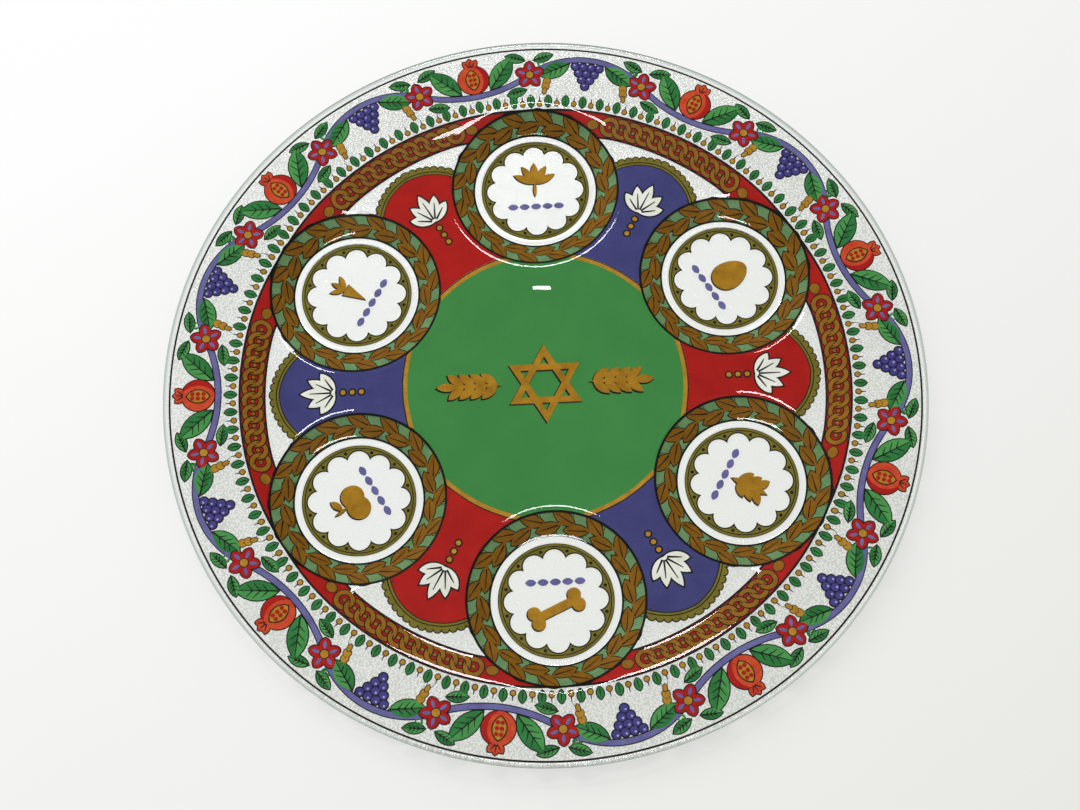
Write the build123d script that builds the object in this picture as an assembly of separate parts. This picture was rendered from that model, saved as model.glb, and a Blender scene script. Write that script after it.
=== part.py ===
from build123d import *
import os
from math import atan, cos, degrees, hypot, pi, radians, sin, sqrt, tan

# A round seder plate of slumped clear glass, with six wells in a ring, a low step and a broad flat rim.
# Its coloured enamels are fired onto the underside, each colour of each printed band as its own film.
# Millimetres, +Z up. The origin is under the middle of the plate, on the table that its wells stand on.

# Glass
PLATE_DIAMETER = 330.0
GLASS_THICKNESS = 4.0
EDGE_ROUND = 1.7
RIM_WIDTH = 32.0
RIM_RISE = 2.0
STEP_RUN = 10.7
STEP_RISE = 4.0
STEP_FILLET = 6.0

# Wells
WELL_COUNT = 6
FIRST_WELL_ANGLE = 30.0
WELL_BRIDGE = 17.0
WELL_REACH = 1.0
WELL_WALL_RUN = 11.0
WELL_DEPTH = 5.0
WELL_FLOOR_FILLET = 4.0
WELL_LIP_FILLET = 2.5
FOOT_RING_WIDTH = 2.4
FOOT_RING_HEIGHT = 0.5

# Enamel films
ENAMEL = 0.25
LIP_CLEARANCE = 1.3
FILM_GAP = 0.4
SMALLEST_SCRAP = 2.0

# Rim border
EDGE_LINE_INSET = 2.2
EDGE_LINE_WIDTH = 0.8
BORDER_MARGIN = 1.2
VINE_WAVES = 9
VINE_WIDTH = 2.2
VINE_SWING = 24.0
BUD_COUNT = 108
BUD_LENGTH = 5.0
BUD_WIDTH = 3.0
BEAD_DIAMETER = 2.0
FRUIT_DIAMETER = 14.0
CROWN_LENGTH = 5.0
CROWN_WIDTH = 3.0
CROWN_SINK = 1.25
CROWN_FAN = 38.0
GRAPE_DIAMETER = 4.3
GRAPE_SPACING = 3.7
GRAPE_ROWS = 4
FRUIT_LEAF = (18.0, 8.4)
FRUIT_LEAF_TURN = 40.0
GRAPE_LEAF = (14.5, 7.4)
GRAPE_LEAF_TURN = 118.0
SPRAY_LEAF = (9.0, 4.2)
SPRAY_LEAF_TURN = 74.0
SPRAY_REACH = 7.4
SPRAY_SPREAD = 0.8
KERNEL_LENGTH = 3.2
KERNEL_WIDTH = 1.8
KERNEL_PITCH = 2.6
KERNEL_PAIRS = 3
KERNEL_TURN = 24.0
EAR_RISE = 1.0
EAR_ANGLE = 6.6
EAR_LEAN = 12.0
BLOSSOM_PETALS = 5
BLOSSOM_PETAL = (6.0, 4.6)
BLOSSOM_PETAL_ROOT = 0.7
BLOSSOM_HEART = 1.7

# Band on the step
LINK_DIAMETER = 8.6
LINK_STROKE = 1.8
LINK_SPACING = 5.6

# Wreath on the well walls, and what is under the well floors
LAUREL_STATIONS = 16
LAUREL_LENGTH = 11.0
LAUREL_WIDTH = 5.0
LAUREL_TILT = 21.0
LAUREL_SPREAD = 0.3
LAUREL_STAGGER = 0.25
STEM_WIDTH = 0.9
FOIL_COUNT = 12
FOIL_PITCH = 17.2
FOIL_RADIUS = 5.4
SIGN_HEIGHT = 17.0
SIGN_LIFT = 3.6
LOZENGE_COUNT = 5
LOZENGE_LENGTH = 4.8
LOZENGE_WIDTH = 3.0

# Panels between the wells, and the middle
PANEL_SETBACK = 6.5
PANEL_SHOULDER = 12.0
PANEL_WIDTH = 40.0
PANEL_BORDER = 3.0
PALMETTE_DROP = 12.0
PETAL_LENGTH = 15.0
PETAL_SHORTENING = 2.0
PETAL_WIDTH = 4.8
PETAL_FAN = 28.0
CENTRE_REACH = 5.5
CENTRE_BORDER = 1.8
STAR_RADIUS = 18.0
STAR_STROKE = 2.8
SPRIG_GAP = 1.0
SPRIG_LENGTH = 24.0
SPRIG_STEM = 2.0
SPRIG_PAIRS = 4
SPRIG_FOOT = 0.4
SPRIG_LEAF = (9.0, 3.8)
SPRIG_LEAF_TURN = 40.0

# Radii and levels that follow from the sizes above
PLATE_RADIUS = PLATE_DIAMETER / 2
STEP_TOP_RADIUS = PLATE_RADIUS - RIM_WIDTH
FLOOR_RADIUS = STEP_TOP_RADIUS - STEP_RUN
HALF_WELL_SINE = sin(pi / WELL_COUNT)
WELL_RING_ROOM = 2 * HALF_WELL_SINE * (STEP_TOP_RADIUS + WELL_REACH)
MOUTH_RADIUS = (WELL_RING_ROOM - WELL_BRIDGE) / (2 + 2 * HALF_WELL_SINE)
PITCH_RADIUS = STEP_TOP_RADIUS + WELL_REACH - MOUTH_RADIUS
WELL_FLOOR_RADIUS = MOUTH_RADIUS - WELL_WALL_RUN
WELL_ANGLE = 360.0 / WELL_COUNT
WELL_ANGLES = [FIRST_WELL_ANGLE + k * WELL_ANGLE for k in range(WELL_COUNT)]
PANEL_ANGLES = [angle - WELL_ANGLE / 2 for angle in WELL_ANGLES]
FLOOR_Z = GLASS_THICKNESS + WELL_DEPTH
STEP_Z = FLOOR_Z + STEP_RISE
EDGE_Z = STEP_Z + RIM_RISE
RIM_SLOPE = RIM_RISE / RIM_WIDTH
UNDER_FLOOR_Z = FLOOR_Z - GLASS_THICKNESS
WALL_SLOPE_ANGLE = degrees(atan(WELL_DEPTH / WELL_WALL_RUN))
FLAT_FLOOR_RADIUS = WELL_FLOOR_RADIUS - WELL_FLOOR_FILLET * tan(radians(WALL_SLOPE_ANGLE / 2))
RECESS_RADIUS = FLAT_FLOOR_RADIUS - FOOT_RING_WIDTH
CLEAR_OF_WELL = MOUTH_RADIUS + LIP_CLEARANCE

# Room above and below the plate that cutting bodies reach into
OVERRUN = 6.0


def polar(radius, angle):
    return radius * cos(radians(angle)), radius * sin(radians(angle))


def about_axis(shape, angle):
    return Rot(0, 0, angle) * shape


def ring_of(shape, angles):
    return [about_axis(shape, angle) for angle in angles]


def at_radius(face, radius, angle, turn=0.0):
    return Rot(0, 0, angle) * Pos(radius, 0, 0) * Rot(0, 0, turn) * face


def union(faces):
    return Sketch() + list(faces)


# An outline without the scraps that cutting leaves, which are too small to print
def printable(outline):
    return union(face for face in outline.faces() if face.area > SMALLEST_SCRAP)


# A pointed leaf of two arcs, from the origin along +X
def leaf(length, width):
    tip = (length, 0)
    upper = ThreePointArc((0, 0), (length / 2, width / 2), tip)
    lower = ThreePointArc(tip, (length / 2, -width / 2), (0, 0))
    return make_face([upper, lower])


def ring_face(outer, inner):
    return Circle(outer) - Circle(inner)


# A bent strip of constant width: part of a ring about (centre_x, 0)
def arc_strip(centre_x, radius, middle, half_angle, width):
    def point(r, angle):
        x, y = polar(r, angle)
        return centre_x + x, y

    start, end = middle - half_angle, middle + half_angle
    outer, inner = radius + width / 2, radius - width / 2
    edges = [
        ThreePointArc(point(outer, start), point(outer, middle), point(outer, end)),
        Line(point(outer, end), point(inner, end)),
        ThreePointArc(point(inner, end), point(inner, middle), point(inner, start)),
        Line(point(inner, start), point(outer, start)),
    ]
    return make_face(edges)


# A straight-down prism of a plan outline, through the whole height of the plate
def prism(face):
    return Pos(0, 0, -OVERRUN) * extrude(face, amount=EDGE_Z + 2 * OVERRUN, dir=(0, 0, 1))


# Height of the plate's top without wells, at a radius, before its corners are rounded
def top_height(radius):
    if radius <= FLOOR_RADIUS:
        return FLOOR_Z
    if radius >= STEP_TOP_RADIUS:
        return STEP_Z + (radius - STEP_TOP_RADIUS) * RIM_SLOPE
    return FLOOR_Z + STEP_RISE * (radius - FLOOR_RADIUS) / STEP_RUN


# Everything below the plate's top, without wells and wider than the plate
def below_top():
    bottom = -4 * OVERRUN
    outer = PLATE_RADIUS + OVERRUN
    corners = [(STEP_TOP_RADIUS, STEP_Z), (FLOOR_RADIUS, FLOOR_Z)]
    outline = [(0, bottom), (outer, bottom), (outer, top_height(outer)), *corners, (0, FLOOR_Z)]
    face = make_face(Polyline(*outline, close=True))
    rounded = [v for v in face.vertices() if any(abs(v.X - x) < 1e-6 for x, _ in corners)]
    return revolve(Plane.XZ * fillet(rounded, STEP_FILLET), axis=Axis.Z)


# The hollow of the well that lies on +X. Its wall runs straight from the round floor to the mouth, which
# is a circle in plan, so the wall grows steeper where the mouth climbs the step.
def well_hollow():
    cap = EDGE_Z + OVERRUN / 3
    stations = 36
    rim = []
    for k in range(stations):
        angle = 360.0 * k / stations
        x, y = polar(MOUTH_RADIUS, angle)
        rise = top_height(hypot(PITCH_RADIUS + x, y)) - GLASS_THICKNESS
        reach = WELL_FLOOR_RADIUS + (cap - GLASS_THICKNESS) * WELL_WALL_RUN / rise
        rim.append((*polar(reach, angle), cap))
    floor = Pos(0, 0, GLASS_THICKNESS) * Circle(WELL_FLOOR_RADIUS).face()
    hollow = loft([floor, make_face(Spline(*rim, periodic=True))], ruled=True)
    foot = [e for e in hollow.edges() if abs(e.center().Z - GLASS_THICKNESS) < 1e-4]
    return Pos(PITCH_RADIUS, 0, 0) * fillet(foot, WELL_FLOOR_FILLET)


def on_a_lip(edge):
    middle = edge.position_at(0.5)
    for angle in WELL_ANGLES:
        x, y = polar(PITCH_RADIUS, angle)
        off_lip = hypot(middle.X - x, middle.Y - y) - MOUTH_RADIUS
        if abs(off_lip) < LIP_CLEARANCE and middle.Z > FLOOR_Z - FILM_GAP:
            return True
    return False


# The sheet of glass has the same thickness straight down everywhere, as slumping leaves it
def glass_plate(hollow):
    upper = below_top() - ring_of(hollow, WELL_ANGLES)
    upper = fillet([e for e in upper.edges() if on_a_lip(e)], WELL_LIP_FILLET)
    disc = Pos(0, 0, -OVERRUN) * Cylinder(
        PLATE_RADIUS, EDGE_Z + 2 * OVERRUN, align=(Align.CENTER, Align.CENTER, Align.MIN)
    )
    sheet = (upper - Pos(0, 0, -GLASS_THICKNESS) * upper) & disc
    edges = [e for e in sheet.edges() if e.geom_type == GeomType.CIRCLE]
    sheet = fillet([e for e in edges if abs(e.radius - PLATE_RADIUS) < 1e-3], EDGE_ROUND)
    recess = Cone(
        RECESS_RADIUS + FOOT_RING_HEIGHT, RECESS_RADIUS, FOOT_RING_HEIGHT,
        align=(Align.CENTER, Align.CENTER, Align.MIN),
    )
    return sheet - [at_radius(recess, PITCH_RADIUS, angle) for angle in WELL_ANGLES]


# Films that follow the underside of the floor, step and rim, and of a well's wall
def plain_film():
    solid = below_top()
    return Pos(0, 0, -GLASS_THICKNESS) * solid - Pos(0, 0, -GLASS_THICKNESS - ENAMEL) * solid


def wall_film(hollow):
    return Pos(0, 0, -GLASS_THICKNESS - ENAMEL) * hollow - Pos(0, 0, -GLASS_THICKNESS) * hollow


def flat_film(face, level):
    return Pos(0, 0, level - ENAMEL) * extrude(face, amount=ENAMEL, dir=(0, 0, 1))


def write(node, shapes):
    solids = [solid for shape in shapes for solid in shape.solids()]
    export_step(Compound(label=node, children=solids), f"parts/{node}.step")


# Rim border: one period is an outward and an inward half wave of the vine, and copies close the ring
PERIOD = 360.0 / VINE_WAVES
PERIOD_ANGLES = [k * PERIOD for k in range(VINE_WAVES)]
HALF_WAVE = PERIOD / 2
BUD_BASE_RADIUS = STEP_TOP_RADIUS + BORDER_MARGIN
BUD_TIP_RADIUS = BUD_BASE_RADIUS + BUD_LENGTH
EDGE_LINE_RADIUS = PLATE_RADIUS - EDGE_LINE_INSET - EDGE_LINE_WIDTH / 2
BORDER_OUTER_RADIUS = EDGE_LINE_RADIUS - EDGE_LINE_WIDTH / 2 - BORDER_MARGIN
VINE_RADIUS = (BUD_TIP_RADIUS + BORDER_OUTER_RADIUS) / 2 - FILM_GAP
VINE_CHORD = 2 * VINE_RADIUS * sin(radians(HALF_WAVE / 2))
VINE_CHORD_X = VINE_RADIUS * cos(radians(HALF_WAVE / 2))


# Apex and bend radius of a half wave that leaves its chord at the given angle
def vine_arc(swing):
    sagitta = VINE_CHORD / 2 * tan(radians(swing / 2))
    return sagitta, VINE_CHORD / (2 * sin(radians(swing)))


IN_SAGITTA, IN_BEND = vine_arc(VINE_SWING)
OUT_SAGITTA, OUT_BEND = vine_arc(VINE_SWING + HALF_WAVE)
OUT_APEX = VINE_CHORD_X + OUT_SAGITTA
IN_APEX = VINE_CHORD_X - IN_SAGITTA


# The vine from the middle of one inward half wave to the middle of the next
def vine_period():
    outward = arc_strip(OUT_APEX - OUT_BEND, OUT_BEND, 0, VINE_SWING + HALF_WAVE, VINE_WIDTH)
    inward = arc_strip(IN_APEX + IN_BEND, IN_BEND, 180, VINE_SWING, VINE_WIDTH)
    return [outward, *ring_of(inward, (-HALF_WAVE, HALF_WAVE))]


# A pomegranate that sits in the inward half wave, crown outwards
def pomegranate():
    middle = IN_APEX + VINE_WIDTH / 2 + FILM_GAP + FRUIT_DIAMETER / 2
    crown_root = middle + FRUIT_DIAMETER / 2 - CROWN_SINK
    crown = leaf(CROWN_LENGTH, CROWN_WIDTH)
    petals = [at_radius(crown, crown_root, 0, turn) for turn in (-CROWN_FAN, 0, CROWN_FAN)]
    body = Pos(middle, 0) * Circle(FRUIT_DIAMETER / 2)
    return about_axis(union([body, *petals]), HALF_WAVE)


# A bunch of grapes that hangs inwards from the outward half wave
def grape_bunch():
    top = OUT_APEX - VINE_WIDTH / 2 - FILM_GAP - GRAPE_DIAMETER / 2
    berry = Circle(GRAPE_DIAMETER / 2)
    berries = []
    for row in range(GRAPE_ROWS):
        in_row = GRAPE_ROWS - row
        x = top - row * GRAPE_SPACING * sqrt(3) / 2
        berries += [Pos(x, GRAPE_SPACING * (k - (in_row - 1) / 2)) * berry for k in range(in_row)]
    return union(berries)


# A five-petalled blossom where the vine crosses its middle line
def blossom():
    petal = Pos(BLOSSOM_PETAL_ROOT, 0) * leaf(*BLOSSOM_PETAL)
    petals = ring_of(petal, [360.0 * k / BLOSSOM_PETALS for k in range(BLOSSOM_PETALS)])
    return Pos(VINE_RADIUS, 0) * union([Circle(BLOSSOM_HEART), *petals])


# An ear of wheat beside the grapes, tip inwards
def wheat_ear(side):
    kernel = leaf(KERNEL_LENGTH, KERNEL_WIDTH)
    ear = [Pos(KERNEL_PAIRS * KERNEL_PITCH, 0) * kernel]
    for pair in range(KERNEL_PAIRS):
        along = pair * KERNEL_PITCH
        ear += [Pos(along, 0) * Rot(0, 0, turn) * kernel for turn in (-KERNEL_TURN, KERNEL_TURN)]
    return at_radius(union(ear), VINE_RADIUS + EAR_RISE, EAR_ANGLE * side, 180 - EAR_LEAN * side)


# On one side of the grapes: a leaf that droops from the bunch, a leaf of the next pomegranate and a spray of
# small ones round the blossom. Each leaves free what is taken and the leaves before it.
def leaves_of(side, taken):
    root = IN_APEX + VINE_WIDTH + FILM_GAP
    head = OUT_APEX - VINE_WIDTH - FILM_GAP
    knot = HALF_WAVE / 2
    by_fruit = HALF_WAVE - degrees(FRUIT_DIAMETER / 2 / root)
    by_bunch = degrees(GRAPE_DIAMETER * GRAPE_ROWS / 2 / head)
    outside, inside = VINE_RADIUS + SPRAY_REACH, VINE_RADIUS - SPRAY_REACH
    places = [
        (FRUIT_LEAF, root, by_fruit, -FRUIT_LEAF_TURN),
        (GRAPE_LEAF, head, by_bunch, GRAPE_LEAF_TURN),
        (SPRAY_LEAF, outside, knot - SPRAY_SPREAD, -SPRAY_LEAF_TURN),
        (SPRAY_LEAF, outside, knot + SPRAY_SPREAD, SPRAY_LEAF_TURN),
        (SPRAY_LEAF, inside, knot + SPRAY_SPREAD, 180 - SPRAY_LEAF_TURN),
    ]
    leaves = []
    for size, radius, bearing, turn in places:
        blade = printable(at_radius(leaf(*size), radius, bearing * side, turn * side) - taken)
        taken = taken + blade
        leaves.append(blade)
    return leaves, taken


def rim_border(film):
    sides = (-1, 1)
    fruit = pomegranate()
    grapes = grape_bunch()
    blossoms = ring_of(blossom(), [HALF_WAVE / 2 * side for side in sides])
    taken = union([*vine_period(), fruit, about_axis(fruit, -PERIOD), grapes, *blossoms])
    leaves, wheat = [], []
    for side in sides:
        blades, taken_here = leaves_of(side, taken)
        leaves += blades
        wheat.append(printable(wheat_ear(side) - taken_here))
    vine = union([about_axis(face, angle) for face in vine_period()[:2] for angle in PERIOD_ANGLES])
    knots = [about_axis(face, angle) for face in blossoms for angle in PERIOD_ANGLES]
    write("rim_vine", [prism(vine - knots) & film])
    motifs = {
        "rim_fruit": [fruit],
        "rim_grape": [grapes],
        "rim_blossom": blossoms,
        "rim_wheat": wheat,
        "rim_leaf": leaves,
    }
    for node, faces in motifs.items():
        films = [prism(face) & film for face in faces]
        write(node, [about_axis(one, angle) for one in films for angle in PERIOD_ANGLES])

    bud = prism(at_radius(leaf(BUD_LENGTH, BUD_WIDTH), BUD_BASE_RADIUS, 0)) & film
    bead_radius = BEAD_DIAMETER / 2
    bead = prism(Pos(BUD_BASE_RADIUS + FILM_GAP + bead_radius) * Circle(bead_radius)) & film
    bud_angle = 360.0 / BUD_COUNT
    write("bud_row", ring_of(bud, [k * bud_angle for k in range(BUD_COUNT)]))
    write("bead_row", ring_of(bead, [(k + 0.5) * bud_angle for k in range(BUD_COUNT)]))
    line = ring_face(EDGE_LINE_RADIUS + EDGE_LINE_WIDTH / 2, EDGE_LINE_RADIUS - EDGE_LINE_WIDTH / 2)
    write("edge_line", [prism(line) & film])


# Band on the step: a red ground between two wells with a chain of interlaced rings down its middle
def step_band(film):
    middle = (FLOOR_RADIUS + STEP_TOP_RADIUS) / 2
    wells = [Pos(*polar(PITCH_RADIUS, sign * WELL_ANGLE / 2)) * Circle(CLEAR_OF_WELL) for sign in (-1, 1)]
    half = WELL_ANGLE / 2
    sector = arc_strip(0, middle, 0, half, STEP_RUN - 2 * FILM_GAP) - wells
    clear = CLEAR_OF_WELL + LINK_DIAMETER / 2 + FILM_GAP
    well_side = (middle**2 + PITCH_RADIUS**2 - clear**2) / (2 * middle * PITCH_RADIUS)
    reach = radians(half) - sqrt(2 * (1 - well_side))
    links = int(2 * reach * middle / LINK_SPACING) + 1
    link_angle = degrees(LINK_SPACING / middle)
    link = Pos(middle, 0) * ring_face(LINK_DIAMETER / 2, LINK_DIAMETER / 2 - LINK_STROKE)
    chain = union([about_axis(link, link_angle * (k - (links - 1) / 2)) for k in range(links)])
    for node, face in {"band_ground": sector - chain, "band_chain": chain}.items():
        write(node, ring_of(prism(face) & film, PANEL_ANGLES))


# Wreath on a well's wall: leaf pairs along a thin stem on a green ground
def well_wreath(hollow):
    film = wall_film(hollow)
    outer = MOUTH_RADIUS - LIP_CLEARANCE
    inner = WELL_FLOOR_RADIUS + LIP_CLEARANCE
    middle = (outer + inner) / 2
    ring = ring_face(outer, inner)
    blade = leaf(LAUREL_LENGTH, LAUREL_WIDTH)
    parts = [ring_face(middle + STEM_WIDTH / 2, middle - STEM_WIDTH / 2)]
    for k in range(LAUREL_STATIONS):
        for side in (-1, 1):
            station = 360.0 * (k + LAUREL_STAGGER * side) / LAUREL_STATIONS
            parts.append(at_radius(blade, middle + LAUREL_SPREAD * side, station, 90 - LAUREL_TILT * side))
    wreath = Pos(PITCH_RADIUS, 0) * (union(parts) & ring)
    ground = Pos(PITCH_RADIUS, 0) * ring - wreath
    for node, face in {"ring_ground": ground, "ring_laurel": wreath}.items():
        write(node, ring_of(prism(face) & film, WELL_ANGLES))


# Small pictures for the six foods, upright along +Y about the origin
def sprig_sign(height):
    blades = [Rot(0, 0, 90 + turn) * leaf(height * 0.62, height * 0.2) for turn in (-64, -32, 0, 32, 64)]
    stem = Pos(0, -height * 0.38) * Rot(0, 0, 90) * leaf(height * 0.42, height * 0.09)
    return union([*blades, stem])


def egg_sign(height):
    half = height / 2
    width = height * 0.37
    side = [(0, -half), (width, -half * 0.2), (0, half)]
    right = Spline(*side, tangents=[(1, 0), (-1, 0)])
    left = mirror(right, about=Plane.YZ)
    return make_face([right, left])


def herb_sign(height):
    rib = Pos(0, -height / 2) * Rot(0, 0, 90) * leaf(height, height * 0.24)
    lobes = []
    for level in (-0.3, -0.08, 0.14):
        for turn in (38, 142):
            lobes.append(Pos(0, height * level) * Rot(0, 0, turn) * leaf(height * 0.44, height * 0.22))
    return union([rib, *lobes])


def bone_sign(height):
    shaft = Rectangle(height * 1.1, height * 0.22)
    knob = height * 0.17
    ends = [Pos(height * 0.55 * x, knob * 0.8 * y) * Circle(knob) for x in (-1, 1) for y in (-1, 1)]
    return Rot(0, 0, 24) * union([shaft, *ends])


def apple_sign(height):
    half = height * 0.3
    halves = [Pos(half * 0.55 * x, -height * 0.12) * Circle(half) for x in (-1, 1)]
    stalk = Pos(0, height * 0.1) * Rot(0, 0, 96) * leaf(height * 0.4, height * 0.08)
    blade = Pos(0, height * 0.26) * Rot(0, 0, 24) * leaf(height * 0.38, height * 0.18)
    return union([*halves, stalk, blade])


def root_sign(height):
    top = height * 0.12
    root = Pos(0, -height / 2) * Polygon(
        (0, 0), (height * 0.17, height * 0.62), (-height * 0.17, height * 0.62), align=None
    )
    blade = leaf(height * 0.42, height * 0.14)
    blades = [Pos(0, top) * Rot(0, 0, 90 + turn) * blade for turn in (-40, 0, 40)]
    return union([root, *blades])


# What is printed under each well's floor, within the foot ring, with its top towards the rim
def well_floor_print():
    signs = [egg_sign, sprig_sign, root_sign, apple_sign, bone_sign, herb_sign]
    level = FOOT_RING_HEIGHT
    foil = Pos(FOIL_PITCH, 0) * Circle(FOIL_RADIUS)
    foils = ring_of(foil, [360.0 * k / FOIL_COUNT for k in range(FOIL_COUNT)])
    scallop = Circle(RECESS_RADIUS - FILM_GAP) - union([Circle(FOIL_PITCH), *foils])
    lozenges = []
    for k in range(LOZENGE_COUNT):
        across = (k - (LOZENGE_COUNT - 1) / 2) * (LOZENGE_LENGTH + FILM_GAP)
        lozenges.append(Pos(-LOZENGE_LENGTH / 2 + across, 0) * leaf(LOZENGE_LENGTH, LOZENGE_WIDTH))
    row_drop = SIGN_HEIGHT / 2 + LOZENGE_WIDTH - SIGN_LIFT
    row = [Pos(0, -row_drop) * face for face in lozenges]
    gold, violet, olive = [], [], []
    for angle, sign in zip(WELL_ANGLES, signs):
        def set_down(face, up=0.0):
            upright = Rot(0, 0, -90) * Pos(0, up) * face
            return at_radius(flat_film(upright, level), PITCH_RADIUS, angle)

        gold.append(set_down(sign(SIGN_HEIGHT), SIGN_LIFT))
        violet += [set_down(face) for face in row]
        olive.append(set_down(scallop))
    write("sign_gold", gold)
    write("sign_violet", violet)
    write("well_scallop", olive)


# Pointed arch about the X axis: apex outwards, straight down to the Y axis. Its sides bulge through a point
# that lies a share of the shoulder below the apex and a share of the half width off the axis.
BULGE_DROP = 0.36
BULGE_OUT = 0.64


def arch(apex, shoulder, width):
    half = width / 2
    foot = apex - shoulder
    bulge = (apex - shoulder * BULGE_DROP, half * BULGE_OUT)
    edges = [
        ThreePointArc((apex, 0), bulge, (foot, half)),
        Polyline((foot, half), (0, half), (0, -half), (foot, -half)),
        ThreePointArc((foot, -half), (bulge[0], -bulge[1]), (apex, 0)),
    ]
    return make_face(edges)


# The middle: a green disc that runs in between the wells, with an even border on its edge there
CENTRE_RADIUS = PITCH_RADIUS - CLEAR_OF_WELL + CENTRE_REACH


def centre_face(grow):
    wells = [Pos(*polar(PITCH_RADIUS, angle)) * Circle(CLEAR_OF_WELL) for angle in WELL_ANGLES]
    return Circle(CENTRE_RADIUS + grow) - wells


def centre():
    ornament = centre_ornament()
    field = centre_face(0.0)
    border = centre_face(CENTRE_BORDER) - field
    write("centre_field", [flat_film(printable(field - ornament), UNDER_FLOOR_Z)])
    write("centre_border", [flat_film(border, UNDER_FLOOR_Z)])
    write("centre_ornament", [flat_film(ornament, UNDER_FLOOR_Z)])


# A six-pointed star of two triangle frames, with a leafy sprig on each side
def centre_ornament():
    outer = STAR_RADIUS
    inner = STAR_RADIUS - 2 * STAR_STROKE
    frame = RegularPolygon(outer, 3) - RegularPolygon(inner, 3)
    star = union([Rot(0, 0, 90) * frame, Rot(0, 0, -90) * frame])
    root = STAR_RADIUS + SPRIG_GAP
    blade = leaf(*SPRIG_LEAF)
    last = SPRIG_LENGTH - SPRIG_LEAF[0] / 2
    pitch = last / SPRIG_PAIRS
    sprig = [Pos(root, 0) * leaf(SPRIG_LENGTH, SPRIG_STEM), Pos(root + last, 0) * blade]
    for k in range(SPRIG_PAIRS):
        along = root + pitch * (k + SPRIG_FOOT)
        sprig += [Pos(along, 0) * Rot(0, 0, turn) * blade for turn in (-SPRIG_LEAF_TURN, SPRIG_LEAF_TURN)]
    right = union(sprig)
    return union([star, right, Rot(0, 0, 180) * right])


# Panels between the wells: alternating red and blue grounds with a pale palmette and an olive border
def panels():
    apex = FLOOR_RADIUS - PANEL_SETBACK
    wells = [Pos(*polar(PITCH_RADIUS, sign * WELL_ANGLE / 2)) * Circle(CLEAR_OF_WELL) for sign in (-1, 1)]
    keep_off = [*wells, Circle(CENTRE_RADIUS + CENTRE_BORDER + FILM_GAP)]
    inside = arch(apex, PANEL_SHOULDER, PANEL_WIDTH)
    outside = arch(apex + PANEL_BORDER, PANEL_SHOULDER + PANEL_BORDER, PANEL_WIDTH + 2 * PANEL_BORDER)
    shape = inside - keep_off
    border = max((outside - inside - keep_off).faces(), key=lambda face: face.center().X)
    root = apex - PANEL_SHOULDER - PALMETTE_DROP
    petals = []
    for k in (-2, -1, 0, 1, 2):
        petal = leaf(PETAL_LENGTH - abs(k) * PETAL_SHORTENING, PETAL_WIDTH)
        petals.append(Pos(root, 0) * Rot(0, 0, PETAL_FAN * k) * petal)
    palmette = union(petals) & shape
    ground = flat_film(shape - palmette, UNDER_FLOOR_Z)
    write("panel_red", ring_of(ground, PANEL_ANGLES[0::2]))
    write("panel_blue", ring_of(ground, PANEL_ANGLES[1::2]))
    write("panel_border", ring_of(flat_film(border, UNDER_FLOOR_Z), PANEL_ANGLES))
    write("panel_palmette", ring_of(flat_film(palmette, UNDER_FLOOR_Z), PANEL_ANGLES))


os.makedirs("parts", exist_ok=True)
well = well_hollow()
write("glass_plate", [glass_plate(well)])
under_film = plain_film()
rim_border(under_film)
step_band(under_film)
well_wreath(well)
well_floor_print()
centre()
panels()
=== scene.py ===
"""Looks of a round slumped-glass seder plate, enamelled underneath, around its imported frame.

The plate is made as the real one is: a flat glass blank and flat printed films, each film drawn in plan,
repeated round the plate and slumped with the glass into one mould shape by a Geometry Nodes tree.
Plan drawings are in millimetres. Blender objects are in metres.
"""
import math

import bpy
import numpy as np
from mathutils import Matrix, Vector
from mathutils.geometry import delaunay_2d_cdt


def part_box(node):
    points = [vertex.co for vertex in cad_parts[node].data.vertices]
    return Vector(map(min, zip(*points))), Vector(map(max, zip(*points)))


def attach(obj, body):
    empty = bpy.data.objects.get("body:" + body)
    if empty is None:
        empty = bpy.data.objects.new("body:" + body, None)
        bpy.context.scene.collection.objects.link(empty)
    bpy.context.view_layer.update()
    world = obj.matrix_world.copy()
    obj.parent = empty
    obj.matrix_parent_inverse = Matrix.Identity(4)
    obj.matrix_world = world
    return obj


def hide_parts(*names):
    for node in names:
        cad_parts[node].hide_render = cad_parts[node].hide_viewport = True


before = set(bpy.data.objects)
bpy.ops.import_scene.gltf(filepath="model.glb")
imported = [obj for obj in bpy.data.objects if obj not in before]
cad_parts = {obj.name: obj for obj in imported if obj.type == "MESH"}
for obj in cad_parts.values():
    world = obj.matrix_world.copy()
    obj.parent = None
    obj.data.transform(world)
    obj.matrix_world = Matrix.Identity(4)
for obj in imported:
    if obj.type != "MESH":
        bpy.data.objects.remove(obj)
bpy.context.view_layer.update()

MM = 0.001

# Glass, as in the part's frame
PLATE_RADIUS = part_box("glass_plate")[1][0] / MM
GLASS = 4.0
EDGE_ROUND = 1.7
RIM_WIDTH = 32.0
RIM_RISE = 2.0
STEP_RUN = 10.7
STEP_RISE = 4.0
WELL_COUNT = 6
SECTOR = 360 / WELL_COUNT
FIRST_WELL = 30.0
WELL_MOUTH = 39.0
WELL_WALL_RUN = 11.0
WELL_DEPTH = 5.0
MOUTH_PAST_STEP = 1.0
WELL_FLOOR = WELL_MOUTH - WELL_WALL_RUN
STEP_TOP = PLATE_RADIUS - RIM_WIDTH
FLOOR_RADIUS = STEP_TOP - STEP_RUN
WELL_PITCH = STEP_TOP + MOUTH_PAST_STEP - WELL_MOUTH
RECESS_RADIUS = 24.7
RECESS_HEIGHT = 0.5
# How far smooth corners round off, as vertical reach in the mould rule, and how much more on the upper face
STEP_EASE = 0.6
LIP_EASE = 0.55
FOOT_EASE = 0.55
TOP_EASE = 1.4

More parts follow.
